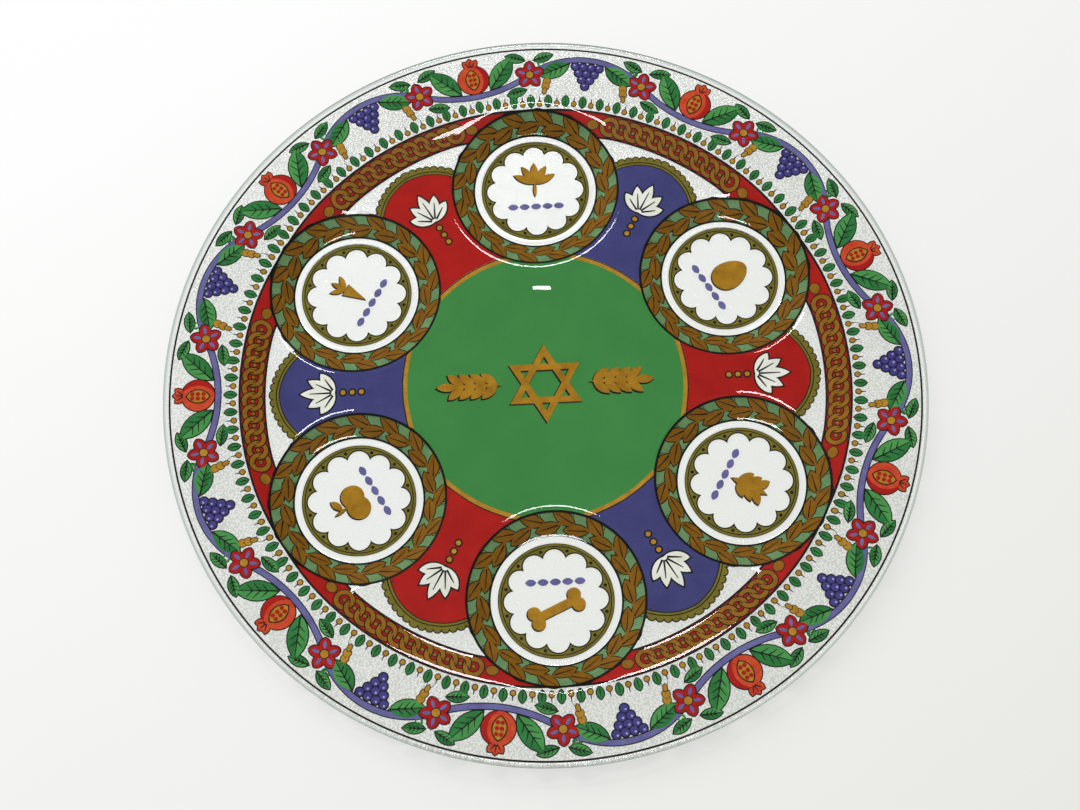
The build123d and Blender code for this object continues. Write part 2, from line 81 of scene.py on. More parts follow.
# Printed films: thickness and spacing of the colours in depth
FILM = 0.05
LAYER = 0.08
# Ink that shows round a colour, round a fine piece and round a dot, ink hidden under a colour's edge,
# half the width of a drawn line, and the share of its width that a rib keeps at its tip
INK = 0.5
FINE_INK = 0.35
ROUND_INK = 0.4
INK_UNDER = 0.6
HALF_LINE = 0.45
RIB_TIP = 0.4
# How far a drawn line wavers, and over what length
WOBBLE = 0.16
WAVER_LENGTH = 6.25
# Points on the outlines round the plate, round its middle and round a well
PLATE_POINTS = 360
CENTRE_POINTS = 180
WELL_POINTS = 120
# Spacing of extra points in a film, on the step and the well walls and on the flatter middle,
# and the share of it from row to row
BEND_GRID = 1.3
FLAT_GRID = 2.2
GRID_ROW = 0.87
# Pebbles of the underside, drawn a little coarser than the real half millimetre so that they show
PEBBLE = 0.9


# Plan outlines: arrays of points in millimetres, anticlockwise

def turned(shape, angle):
    a = math.radians(angle)
    c, s = math.cos(a), math.sin(a)
    return np.asarray(shape) @ np.array([[c, s], [-s, c]])


def moved(shape, x=0.0, y=0.0, turn=0.0):
    return turned(shape, turn) + np.array([x, y])


def at_radius(shape, radius, angle, turn=0.0):
    return turned(moved(shape, radius, 0, turn), angle)


def circle(radius, x=0.0, y=0.0, points=28):
    a = np.linspace(0, 2 * math.pi, points, endpoint=False)
    return np.stack([x + radius * np.cos(a), y + radius * np.sin(a)], 1)


def hoop(outer, inner, points, x=0.0):
    """A ring as a list of its outline and a list of its hole."""
    return [circle(outer, x, 0, points)], [circle(inner, x, 0, points)]


def arc(radius, start, end, points=12, x=0.0, y=0.0):
    a = np.radians(np.linspace(start, end, points))
    return np.stack([x + radius * np.cos(a), y + radius * np.sin(a)], 1)


def arc_strip(radius, start, end, width, points=12, x=0.0, y=0.0):
    outer = arc(radius + width / 2, start, end, points, x, y)
    inner = arc(radius - width / 2, end, start, points, x, y)
    return np.concatenate([outer, inner])


def leaf(length, width, points=9):
    """A pointed leaf of two arcs, from the origin along +X."""
    half = width / 2
    bend = (length ** 2 / 4 + half ** 2) / (2 * half)
    a = np.linspace(-1, 1, points) * math.asin(length / 2 / bend)
    x = length / 2 + bend * np.sin(a)
    y = bend * np.cos(a) - (bend - half)
    lower = np.stack([x, -y], 1)
    upper = np.stack([x, y], 1)[::-1]
    return np.concatenate([lower, upper[1:-1]])


def half_leaf(length, width, points=9):
    whole = leaf(length, width, points)
    upper = whole[points - 1:]
    return np.concatenate([whole[:1], upper])


def arc_through(start, middle, end, points=10):
    """Points of the circular arc through three points."""
    (ax, ay), (bx, by), (cx, cy) = start, middle, end
    d = 2 * (ax * (by - cy) + bx * (cy - ay) + cx * (ay - by))
    a2, b2, c2 = ax * ax + ay * ay, bx * bx + by * by, cx * cx + cy * cy
    ux = (a2 * (by - cy) + b2 * (cy - ay) + c2 * (ay - by)) / d
    uy = (a2 * (cx - bx) + b2 * (ax - cx) + c2 * (bx - ax)) / d
    angles = [math.atan2(y - uy, x - ux) for x, y in (start, middle, end)]
    turns = [(angles[1] - angles[0]) % (2 * math.pi), (angles[2] - angles[0]) % (2 * math.pi)]
    sweep = turns[1] if turns[0] < turns[1] else turns[1] - 2 * math.pi
    a = angles[0] + np.linspace(0, sweep, points)
    radius = math.hypot(ax - ux, ay - uy)
    return np.stack([ux + radius * np.cos(a), uy + radius * np.sin(a)], 1)


def anticlockwise(shape):
    x, y = shape[:, 0], shape[:, 1]
    area = np.sum(x * np.roll(y, -1) - np.roll(x, -1) * y)
    return shape if area > 0 else shape[::-1]


def grown(shape, by):
    """The outline moved outwards by a distance, with sharp tips kept short."""
    shape = anticlockwise(np.asarray(shape, float))
    ahead = np.roll(shape, -1, 0) - shape
    ahead /= np.maximum(np.linalg.norm(ahead, axis=1, keepdims=True), 1e-9)
    normal = np.stack([ahead[:, 1], -ahead[:, 0]], 1)
    both = normal + np.roll(normal, 1, 0)
    size = np.maximum(np.linalg.norm(both, axis=1, keepdims=True), 1e-9)
    return shape + both / size * by / np.maximum(size / 2, 0.6)


def inked(shapes, by=INK):
    return [grown(shape, by) for shape in shapes]


def ribbon(path, width, tip=1.0):
    """A strip along a path, narrowing to a share of its width at the far end."""
    path = np.asarray(path, float)
    along = np.gradient(path, axis=0)
    along /= np.maximum(np.linalg.norm(along, axis=1, keepdims=True), 1e-9)
    side = np.stack([-along[:, 1], along[:, 0]], 1)
    half = np.linspace(width, width * tip, len(path))[:, None] / 2
    return anticlockwise(np.concatenate([path + side * half, (path - side * half)[::-1]]))


def rib_line(root, middle, tip, width):
    """A straight rib along the X axis, narrowing to its tip."""
    return ribbon([(root, 0), (middle, 0), (tip, 0)], width, RIB_TIP)


def curl(size, turns=1.3, hand=1, points=30):
    """A tendril that winds in as it goes, from the origin along +X."""
    t = np.linspace(0, 1, points)
    angle = t * turns * 2 * math.pi
    step = size * (1 - 0.8 * t) / points * 2.4
    x = np.cumsum(step * np.cos(angle))
    y = np.cumsum(step * np.sin(angle)) * hand
    return np.stack([x, y], 1)


def arch(apex, shoulder, width):
    """A pointed arch about the X axis: apex outwards, straight down to the Y axis."""
    half, foot = width / 2, apex - shoulder
    bulge = (apex - shoulder * 0.36, half * 0.64)
    side = arc_through((apex, 0), bulge, (foot, half))
    other = (side * np.array([1, -1]))[::-1]
    return np.concatenate([side, [(0, half), (0, -half)], other[:-1]])


# Nodes: one function adds any node, and plain values go on its sockets

def add(tree, kind, settings=None, inputs=None):
    node = tree.nodes.new(kind)
    for key, value in (settings or {}).items():
        setattr(node, key, value)
    for key, value in (inputs or {}).items():
        if isinstance(value, bpy.types.NodeSocket):
            tree.links.new(value, node.inputs[key])
        else:
            node.inputs[key].default_value = value
    return node


def linear(hex_colour):
    channels = [int(hex_colour[i:i + 2], 16) / 255 for i in (1, 3, 5)]
    return [c / 12.92 if c <= 0.04045 else ((c + 0.055) / 1.055) ** 2.4 for c in channels] + [1.0]


def reckon(tree, values, steps):
    """Adds a chain of named arithmetic steps: (name, operation, operands)."""
    for name, operation, *operands in steps:
        inputs = {i: values.get(o, o) if isinstance(o, str) else o for i, o in enumerate(operands)}
        values[name] = add(tree, "ShaderNodeMath", {"operation": operation}, inputs).outputs[0]
    return values


# The mould: the rule that gives the height of the plate's top at any point of its plan

IN_PLAN = (1.0, 1.0, 0.0)
MOULD_SIZES = {
    "Floor Height": (GLASS + WELL_DEPTH) * MM, "Floor Radius": FLOOR_RADIUS * MM,
    "Step Slope": STEP_RISE / STEP_RUN, "Step Top Radius": STEP_TOP * MM,
    "Step Top Height": (GLASS + WELL_DEPTH + STEP_RISE) * MM, "Rim Slope": RIM_RISE / RIM_WIDTH,
    "Step Ease": STEP_EASE * MM,
}
WELL_SIZES = {
    "Well Angle": math.radians(FIRST_WELL), "Half Sector": math.pi / WELL_COUNT,
    "Well Pitch": WELL_PITCH * MM, "Well Mouth": WELL_MOUTH * MM, "Well Floor": WELL_FLOOR * MM,
    "Wall Run": WELL_WALL_RUN * MM, "Glass": GLASS * MM, "Lip Ease": LIP_EASE * MM,
    "Foot Ease": FOOT_EASE * MM, "Step Ease": STEP_EASE * MM, "Top Ease": TOP_EASE * MM,
}


def new_tree(name, inputs, output):
    tree = bpy.data.node_groups.new(name, "GeometryNodeTree")
    for label, (kind, default) in inputs.items():
        socket = tree.interface.new_socket(label, in_out="INPUT", socket_type=kind)
        if default is not None:
            socket.default_value = default
    tree.interface.new_socket(output[0], in_out="OUTPUT", socket_type=output[1])
    source = add(tree, "NodeGroupInput")
    values = {label: source.outputs[label] for label in inputs}
    return tree, values, add(tree, "NodeGroupOutput")


def profile_tree():
    """Height of the plate's top without wells, at a radius: floor, step and rim with eased corners."""
    inputs = {"Radius": ("NodeSocketFloat", 0.0)}
    inputs.update({label: ("NodeSocketFloat", size) for label, size in MOULD_SIZES.items()})
    tree, v, out = new_tree("plate_profile", inputs, ("Height", "NodeSocketFloat"))
    reckon(tree, v, [
        ("past floor", "SUBTRACT", "Radius", "Floor Radius"),
        ("step line", "MULTIPLY_ADD", "past floor", "Step Slope", "Floor Height"),
        ("past step", "SUBTRACT", "Radius", "Step Top Radius"),
        ("rim line", "MULTIPLY_ADD", "past step", "Rim Slope", "Step Top Height"),
        ("step and rim", "SMOOTH_MIN", "step line", "rim line", "Step Ease"),
        ("height", "SMOOTH_MAX", "Floor Height", "step and rim", "Step Ease"),
    ])
    tree.links.new(v["height"], out.inputs[0])
    return tree


def slump_tree():
    """Repeats a flat drawing round the plate's axis and sinks it into the mould with the glass."""
    inputs = {
        "Drawing": ("NodeSocketGeometry", None), "Copies": ("NodeSocketInt", 1),
        "Start Angle": ("NodeSocketFloat", 0.0), "Wobble": ("NodeSocketFloat", 0.0),
        "Finish": ("NodeSocketMaterial", None), "Underside Finish": ("NodeSocketMaterial", None),
    }
    inputs.update({label: ("NodeSocketFloat", size) for label, size in WELL_SIZES.items()})
    tree, v, out = new_tree("slumped_print", inputs, ("Print", "NodeSocketGeometry"))
    v["index"] = add(tree, "GeometryNodeInputIndex").outputs[0]
    reckon(tree, v, [
        ("share", "DIVIDE", "index", "Copies"),
        ("angle", "MULTIPLY_ADD", "share", 2 * math.pi, "Start Angle"),
    ])
    spots = add(tree, "GeometryNodePoints", inputs={"Count": v["Copies"]})
    turn = add(tree, "ShaderNodeCombineXYZ", inputs={"Z": v["angle"]})
    copies = add(tree, "GeometryNodeInstanceOnPoints", inputs={
        "Points": spots.outputs[0], "Instance": v["Drawing"], "Rotation": turn.outputs[0]})
    flat = add(tree, "GeometryNodeRealizeInstances", inputs={"Geometry": copies.outputs[0]})

    # The hand-drawn waver of the outlines: the same at one place for every colour, so they stay in register
    place = add(tree, "GeometryNodeInputPosition").outputs[0]
    level = add(tree, "ShaderNodeVectorMath", {"operation": "MULTIPLY"}, {0: place, 1: IN_PLAN})
    noise = add(tree, "ShaderNodeTexNoise", inputs={
        "Vector": level.outputs[0], "Scale": 1 / (WAVER_LENGTH * MM), "Detail": 2.0})
    centred = add(tree, "ShaderNodeVectorMath", {"operation": "SUBTRACT"},
                  {0: noise.outputs["Color"], 1: (0.5, 0.5, 0.5)})
    swing = add(tree, "ShaderNodeCombineXYZ", inputs={"X": v["Wobble"], "Y": v["Wobble"]})
    waver = add(tree, "ShaderNodeVectorMath", {"operation": "MULTIPLY"},
                {0: centred.outputs[0], 1: swing.outputs[0]})
    drawn = add(tree, "GeometryNodeSetPosition",
                inputs={"Geometry": flat.outputs[0], "Offset": waver.outputs[0]})

    # Each point's place in the sector of the nearest well, and the wall's height there
    v["x"], v["y"], _ = add(tree, "ShaderNodeSeparateXYZ", inputs={0: place}).outputs
    reckon(tree, v, [
        ("xx", "MULTIPLY", "x", "x"),
        ("rr", "MULTIPLY_ADD", "y", "y", "xx"),
        ("radius", "SQRT", "rr"),
        ("bearing", "ARCTAN2", "y", "x"),
        ("off well", "SUBTRACT", "bearing", "Well Angle"),
        ("least", "MULTIPLY", "Half Sector", -1.0),
        ("fold", "WRAP", "off well", "Half Sector", "least"),
        ("cosine", "COSINE", "fold"),
        ("sine", "SINE", "fold"),
        ("across", "MULTIPLY", "radius", "sine"),
        ("out", "MULTIPLY", "radius", "cosine"),
        ("away", "SUBTRACT", "out", "Well Pitch"),
        ("away sq", "MULTIPLY", "away", "away"),
        ("well sq", "MULTIPLY_ADD", "across", "across", "away sq"),
        ("from well", "SQRT", "well sq"),
        ("heading", "DIVIDE", "away", "from well"),
        ("mouth out", "MULTIPLY_ADD", "heading", "Well Mouth", "Well Pitch"),
        ("mouth out sq", "MULTIPLY", "mouth out", "mouth out"),
        ("heading sq", "MULTIPLY", "heading", "heading"),
        ("side sq", "SUBTRACT", 1.0, "heading sq"),
        ("mouth sq", "MULTIPLY", "Well Mouth", "Well Mouth"),
        ("mouth radius sq", "MULTIPLY_ADD", "side sq", "mouth sq", "mouth out sq"),
        ("mouth radius", "SQRT", "mouth radius sq"),
    ])
    # The upper face of the glass bends more softly than the print below it
    upper = add(tree, "GeometryNodeInputNamedAttribute", {"data_type": "FLOAT"}, {"Name": "upper"})
    reckon(tree, v, [(bend.lower(), "MULTIPLY_ADD", upper.outputs[0], "Top Ease", bend)
                     for bend in ("Lip Ease", "Foot Ease", "Step Ease")])
    profile = profile_tree()
    for label, radius in {"mouth height": "mouth radius", "top": "radius"}.items():
        v[label] = add(tree, "GeometryNodeGroup", {"node_tree": profile}, {
            "Radius": v[radius], "Step Ease": v["step ease"]}).outputs[0]
    reckon(tree, v, [
        ("climb", "SUBTRACT", "mouth height", "Glass"),
        ("past foot", "SUBTRACT", "from well", "Well Floor"),
        ("share up", "DIVIDE", "past foot", "Wall Run"),
        ("wall", "MULTIPLY_ADD", "climb", "share up", "Glass"),
        ("well", "SMOOTH_MAX", "Glass", "wall", "foot ease"),
        ("height", "SMOOTH_MIN", "top", "well", "lip ease"),
        ("drop", "SUBTRACT", "height", "Glass"),
    ])
    sink = add(tree, "ShaderNodeCombineXYZ", inputs={"Z": v["drop"]})
    slumped = add(tree, "GeometryNodeSetPosition",
                  inputs={"Geometry": drawn.outputs[0], "Offset": sink.outputs[0]})
    finish = add(tree, "GeometryNodeSetMaterial",
                 inputs={"Geometry": slumped.outputs[0], "Material": v["Finish"]})
    below = add(tree, "GeometryNodeInputNamedAttribute", {"data_type": "BOOLEAN"}, {"Name": "underside"})
    both = add(tree, "GeometryNodeSetMaterial", inputs={
        "Geometry": finish.outputs[0], "Selection": below.outputs[0], "Material": v["Underside Finish"]})
    tree.links.new(both.outputs[0], out.inputs[0])
    return tree


SLUMP = slump_tree()


def slumped(name, mesh, values):
    """Runs the mould tree on a flat mesh and keeps the result as a plain mesh object at the origin."""
    blank = bpy.data.objects.new(name + "_blank", mesh)
    bpy.context.collection.objects.link(blank)
    modifier = blank.modifiers.new("slump", "NODES")
    modifier.node_group = SLUMP
    sockets = {item.name: item.identifier for item in SLUMP.interface.items_tree if item.in_out == "INPUT"}
    for label, value in values.items():
        modifier[sockets[label]] = value
    graph = bpy.context.evaluated_depsgraph_get()
    made = bpy.data.meshes.new_from_object(blank.evaluated_get(graph))
    made.name = name
    bpy.data.objects.remove(blank)
    piece = bpy.data.objects.new(name, made)
    bpy.context.collection.objects.link(piece)
    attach(piece, "root")
    return piece


# Films: plan outlines cut into triangles, given the film's thickness and slumped

def triangles(shapes, holes=(), grid=None):
    """Triangles of the shapes' union without the holes, with extra points on a grid where it will bend."""
    points, loops = [], []
    for shape in [*shapes, *holes]:
        shape = anticlockwise(np.asarray(shape, float))
        loops.append(list(range(len(points), len(points) + len(shape))))
        points += [Vector(p) for p in shape]
    if grid:
        low = np.min([np.min(s, 0) for s in shapes], 0)
        high = np.max([np.max(s, 0) for s in shapes], 0)
        for row, y in enumerate(np.arange(low[1], high[1], grid * GRID_ROW)):
            shift = grid / 2 * (row % 2)
            points += [Vector((x, y)) for x in np.arange(low[0] + shift, high[0], grid)]
    made, _, faces, _, _, owners = delaunay_2d_cdt(points, [], loops, 1, 1e-5)
    solid = len(shapes)
    kept = [f for f, own in zip(faces, owners) if own and all(i < solid for i in own)]
    used = sorted({i for f in kept for i in f})
    number = {old: new for new, old in enumerate(used)}
    return np.array([made[i] for i in used]), [[number[i] for i in f] for f in kept]


def open_edges(tris):
    """Edges that only one triangle has, in its direction."""
    edges = dict.fromkeys(e for a, b, c in tris for e in ((a, b), (b, c), (c, a)))
    return [e for e in edges if e[::-1] not in edges]


def film_mesh(name, layers):
    """One mesh of thin closed films, one for each (level, shapes, holes, grid)."""
    verts, faces = [], []
    for level, shapes, holes, grid in layers:
        plan, tris = triangles(shapes, holes, grid)
        low, high = len(verts), len(verts) + len(plan)
        for z in (level, level + FILM):
            verts += [(x * MM, y * MM, z * MM) for x, y in plan]
        for a, b, c in tris:
            faces += [(high + a, high + b, high + c), (low + c, low + b, low + a)]
        faces += [(low + a, low + b, high + b, high + a) for a, b in open_edges(tris)]
    mesh = bpy.data.meshes.new(name)
    mesh.from_pydata(verts, [], faces)
    return mesh


def layer(order, shapes, holes=(), grid=None, base=0.0):
    return base + FILM + order * LAYER, list(shapes), list(holes), grid


def film(name, enamel, layers, copies=1, start=0.0, node=None, wobble=WOBBLE):
    finish, slot = enamel
    piece = slumped(name, film_mesh(name, layers), {
        "Copies": copies, "Start Angle": math.radians(start), "Wobble": wobble * MM, "Finish": finish})
    if node:
        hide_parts(node)
    return piece


# Finishes

ENAMEL_GRIT = 0.9
GRIT_SHARE = 0.45
POLISHED_WAVES = 26.0
# Where in a pebble its painted rim of shade lies, the height at which that shade shows in full, and its share
# on the table
PEBBLE_RIMS = (0.25, 0.7)
PEBBLE_LIFT = 8.0
PEBBLE_LOWEST = 0.06
GLASS_IOR = 1.52


def new_finish(name):
    """An empty material, its tree and the place of each point on the piece."""
    material = bpy.data.materials.new(name)
    material.use_nodes = True
    tree = material.node_tree
    tree.nodes.clear()
    return material, tree, add(tree, "ShaderNodeTexCoord").outputs["Object"]


def graded(tree, value, low, high, first, second):
    """A colour that runs from the first to the second as a value goes from low to high."""
    share = add(tree, "ShaderNodeMapRange", inputs={"Value": value, "From Min": low, "From Max": high})
    return add(tree, "ShaderNodeMix", {"data_type": "RGBA"}, {
        "Factor": share.outputs[0], 6: linear(first), 7: linear(second)}).outputs[2]


def fired_enamel(name, colour, shade, mottle, slot=None, metal=0.0, rough=0.42):
    """Screen-printed vitreous enamel: flat colour that clouds where the paste lay thinner, with a fine grit.

    The clouds' size is in millimetres, and the grit is drawn coarser than the real one so that it shows.
    Returns the material and the slot that it fills.
    """
    material, tree, where = new_finish(name)
    cloud = add(tree, "ShaderNodeTexNoise", inputs={
        "Vector": where, "Scale": 1 / (mottle * MM), "Detail": 4.0, "Roughness": 0.6}).outputs["Fac"]
    grit = add(tree, "ShaderNodeTexNoise", inputs={
        "Vector": where, "Scale": 1 / (ENAMEL_GRIT * MM), "Detail": 2.0, "Roughness": 0.7}).outputs["Fac"]
    v = reckon(tree, {}, [("thickness", "MULTIPLY_ADD", grit, GRIT_SHARE, cloud)])
    bump = add(tree, "ShaderNodeBump", inputs={"Height": grit, "Strength": 0.15, "Distance": FILM * MM})
    shader = add(tree, "ShaderNodeBsdfPrincipled", inputs={
        "Base Color": graded(tree, v["thickness"], 0.5, 0.95, shade, colour), "Roughness": rough,
        "Metallic": metal, "Specular IOR Level": 0.1, "Normal": bump.outputs[0]})
    add(tree, "ShaderNodeOutputMaterial", inputs={"Surface": shader.outputs[0]})
    return material, slot or name


def plate_glass(name, waves, depth, strength, pebbled):
    """Slumped soda-lime glass: clear and glossy above, pebbled below where it lay on the mould.

    Each pebble is a small lens that bends light away from its rim; that dim rim is painted shade in the
    underside's colour, the more so the higher the glass stands.
    Its rounded edge is tinted greener and darker, painted shade for the light that crosses more glass there.
    Waves and depth are in millimetres.
    """
    material, tree, where = new_finish(name)
    relief = add(tree, "ShaderNodeTexNoise", inputs={
        "Vector": where, "Scale": 1 / (waves * MM), "Detail": 2.0, "Roughness": 0.5})
    bump = add(tree, "ShaderNodeBump", inputs={
        "Height": relief.outputs["Fac"], "Strength": strength, "Distance": depth * MM})
    if pebbled:
        cells = add(tree, "ShaderNodeTexVoronoi", inputs={"Vector": where, "Scale": 1 / (PEBBLE * MM)})
        rims = add(tree, "ShaderNodeMapRange", inputs={
            "Value": cells.outputs["Distance"], "From Min": PEBBLE_RIMS[0], "From Max": PEBBLE_RIMS[1]})
        height = add(tree, "ShaderNodeSeparateXYZ", inputs={0: where})
        lift = add(tree, "ShaderNodeMapRange", inputs={
            "Value": height.outputs["Z"], "From Max": PEBBLE_LIFT * MM, "To Min": PEBBLE_LOWEST})
        # Painted shade: each pebble's rim is darkened in the glass's colour, more where the glass stands
        # higher over the table
        v = reckon(tree, {}, [("painted rim shade", "MULTIPLY", rims.outputs[0], lift.outputs[0])])
        shaded_tint = graded(tree, v["painted rim shade"], 0.0, 1.0, "#fffffe", "#cdcec6")
    else:
        # Painted shade: the rounded edge is tinted greener and darker for the light that crosses more glass
        # there
        level = add(tree, "ShaderNodeVectorMath", {"operation": "MULTIPLY"}, {0: where, 1: IN_PLAN})
        radius = add(tree, "ShaderNodeVectorMath", {"operation": "LENGTH"}, {0: level.outputs[0]})
        shaded_tint = graded(tree, radius.outputs["Value"], (PLATE_RADIUS - EDGE_ROUND) * MM, PLATE_RADIUS * MM,
                      "#fbfefc", "#8fa298")
    glass = add(tree, "ShaderNodeBsdfPrincipled", inputs={
        "Base Color": shaded_tint, "Roughness": 0.01, "IOR": GLASS_IOR, "Transmission Weight": 1.0,
        "Normal": bump.outputs[0]})
    # Light that falls on the print and the table passes straight through
    through = add(tree, "ShaderNodeBsdfTransparent", inputs={"Color": linear("#fcfefc")})
    path = add(tree, "ShaderNodeLightPath").outputs
    v = reckon(tree, {}, [("lit", "MAXIMUM", path["Is Shadow Ray"], path["Is Diffuse Ray"])])
    mixed = add(tree, "ShaderNodeMixShader", inputs={0: v["lit"], 1: glass.outputs[0], 2: through.outputs[0]})
    add(tree, "ShaderNodeOutputMaterial", inputs={"Surface": mixed.outputs[0]})
    return material


INK_BLACK = fired_enamel("black_line_enamel", "#1a1714", "#0c0b0a", 5.0, "black_enamel")
VIOLET = fired_enamel("violet_enamel", "#6f6ca2", "#59568c", 7.0)
GRAPE_VIOLET = fired_enamel("grape_violet_enamel", "#4a448c", "#37306f", 4.0)
PALE_VIOLET = fired_enamel("pale_violet_enamel", "#a9a5cf", "#8f8abd", 4.0, "violet_enamel")
LEAF = fired_enamel("leaf_green_enamel", "#2f8040", "#22662f", 6.0)
LIGHT_LEAF = fired_enamel("light_leaf_enamel", "#4f9a50", "#3d8743", 6.0, "leaf_green_enamel")
ORANGE = fired_enamel("orange_red_enamel", "#d4512a", "#b8331b", 5.0)
RED = fired_enamel("red_enamel", "#b01810", "#9b0e0a", 14.0)
BLUE = fired_enamel("blue_enamel", "#42437a", "#38386d", 14.0)
OCHRE = fired_enamel("ochre_enamel", "#bc8a2a", "#9c6f1a", 5.0)
CHAIN = fired_enamel("brown_ochre_enamel", "#9a6814", "#80530c", 5.0, "ochre_enamel")
BRONZE = fired_enamel("bronze_enamel", "#8c5e10", "#744b0a", 5.0)
OLIVE = fired_enamel("olive_enamel", "#7d7325", "#675d1a", 6.0)
SAGE = fired_enamel("sage_enamel", "#74976a", "#5c8050", 6.0)
GREEN = fired_enamel("green_enamel", "#3e8543", "#387d3d", 22.0)
WHITE = fired_enamel("white_enamel", "#f2f1ea", "#dedcd0", 8.0)
GOLD = fired_enamel("gold_lustre", "#a87a1c", "#855d10", 6.0, "gold_enamel", metal=0.3, rough=0.38)


# Glass blank: points gathered where the mould bends it, triangulated, with a rounded edge

# How far the rings go past a bend, and their spacing and number of points on the step and round the wells
BEND_REACH = 5.5
STEP_RINGS = (0.8, 560)
WELL_RINGS = (0.75, 192)
WELL_FLOOR_RINGS = (8.0, 16.0, RECESS_RADIUS - 3.0)
WELL_FLOOR_POINTS = 40
EDGE_RINGS = (0.0, 0.4, 1.2)
OPEN_SPACING = 5.0
EDGE_BENDS = (22.5, 45, 67.5, 90)
# Least distance of the wells' rings from the recess, of the step's rings from those,
# and of the open points from all rings and from the edge
RECESS_CLEAR = 0.6
RING_CLEAR = 0.4
OPEN_CLEAR = 1.0
EDGE_CLEAR = 3.0


def well_centres():
    return [turned([[WELL_PITCH, 0]], FIRST_WELL + SECTOR * k)[0] for k in range(WELL_COUNT)]


def staggered(radius, count, row):
    """A ring of points, shifted by half a pitch in every other row so that the triangles come out even."""
    return turned(circle(radius, points=count), 180 / count * (row % 2))


def glass_plan():
    flat_edge = PLATE_RADIUS - EDGE_ROUND
    centres = well_centres()

    def from_wells(points):
        return np.min([np.linalg.norm(points - c, axis=1) for c in centres], 0)

    mouth = WELL_MOUTH + BEND_REACH
    recess = RECESS_RADIUS + RECESS_HEIGHT
    step_pitch, step_points = STEP_RINGS
    well_pitch, well_points = WELL_RINGS
    step_rings = np.arange(FLOOR_RADIUS - BEND_REACH, STEP_TOP + BEND_REACH, step_pitch)
    well_rings = np.concatenate([
        WELL_FLOOR_RINGS, [RECESS_RADIUS, recess], np.arange(recess + RECESS_CLEAR, mouth, well_pitch)])
    points = [circle(flat_edge - inset, points=PLATE_POINTS) for inset in EDGE_RINGS]
    for k, ring in enumerate(step_rings):
        loop = staggered(ring, step_points, k)
        points.append(loop[from_wells(loop) > mouth + RING_CLEAR])
    for k, ring in enumerate(well_rings):
        loop = staggered(ring, WELL_FLOOR_POINTS if ring in WELL_FLOOR_RINGS else well_points, k)
        points += [loop + c for c in centres]
    span = np.arange(-PLATE_RADIUS, PLATE_RADIUS, OPEN_SPACING)
    grid = np.array([(x + OPEN_SPACING / 2 * (k % 2), y) for k, y in enumerate(span) for x in span])
    radius = np.linalg.norm(grid, axis=1)
    clear = (radius < flat_edge - EDGE_CLEAR) & (from_wells(grid) > mouth + OPEN_CLEAR)
    reach = BEND_REACH + OPEN_CLEAR
    clear &= (radius < FLOOR_RADIUS - reach) | (radius > STEP_TOP + reach)
    points.append(grid[clear])
    points.append(np.array(centres))
    plan = [Vector(p) for p in np.concatenate(points)]
    made, _, faces, _, _, _ = delaunay_2d_cdt(plan, [], [list(range(PLATE_POINTS))], 1, 1e-5)
    return np.array(made), faces, from_wells


def glass_blank():
    plan, tris, from_wells = glass_plan()
    count = len(plan)
    hollow = np.clip(RECESS_RADIUS + RECESS_HEIGHT - from_wells(plan), 0, RECESS_HEIGHT)
    verts = [(x, y, GLASS) for x, y in plan] + [(x, y, z) for (x, y), z in zip(plan, hollow)]
    faces = [tuple(t) for t in tris] + [tuple(count + i for i in reversed(t)) for t in tris]
    under = [False] * len(tris) + [True] * len(tris)
    after = dict(open_edges(tris))
    loop = [next(iter(after))]
    while after[loop[-1]] != loop[0]:
        loop.append(after[loop[-1]])
    previous = loop
    flat_edge = PLATE_RADIUS - EDGE_ROUND
    bends = [(EDGE_ROUND * math.sin(a), GLASS - EDGE_ROUND * (1 - math.cos(a)))
             for a in np.radians(EDGE_BENDS)]
    bends += [(out, GLASS - z) for out, z in reversed(bends)]
    for out, z in bends:
        ring = list(range(len(verts), len(verts) + len(loop)))
        verts += [(*(plan[i] * (flat_edge + out) / flat_edge), z) for i in loop]
        faces += band(previous, ring)
        previous = ring
    faces += band(previous, [count + i for i in loop])
    under += [False] * (len(faces) - len(under))
    mesh = bpy.data.meshes.new("glass_blank")
    mesh.from_pydata([(x * MM, y * MM, z * MM) for x, y, z in verts], [], faces)
    upper = [1.0] * count + [0.0] * (len(verts) - count)
    mesh.attributes.new("underside", "BOOLEAN", "FACE").data.foreach_set("value", under)
    mesh.attributes.new("upper", "FLOAT", "POINT").data.foreach_set("value", upper)
    mesh.polygons.foreach_set("use_smooth", [True] * len(faces))
    return mesh


def band(upper, lower):
    after = list(range(1, len(upper))) + [0]
    return [(upper[i], lower[i], lower[j], upper[j]) for i, j in enumerate(after)]


def glass_plate():
    top = plate_glass("polished_glass", POLISHED_WAVES, 0.05, 0.25, pebbled=False)
    below = plate_glass("pebbled_glass", PEBBLE, 0.12, 0.6, pebbled=True)
    piece = slumped("glass", glass_blank(), {"Finish": top, "Underside Finish": below})
    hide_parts("glass_plate")
    return piece


# Rim border: a vine in nine waves, with pomegranates, grapes, wheat, blossoms and leaves

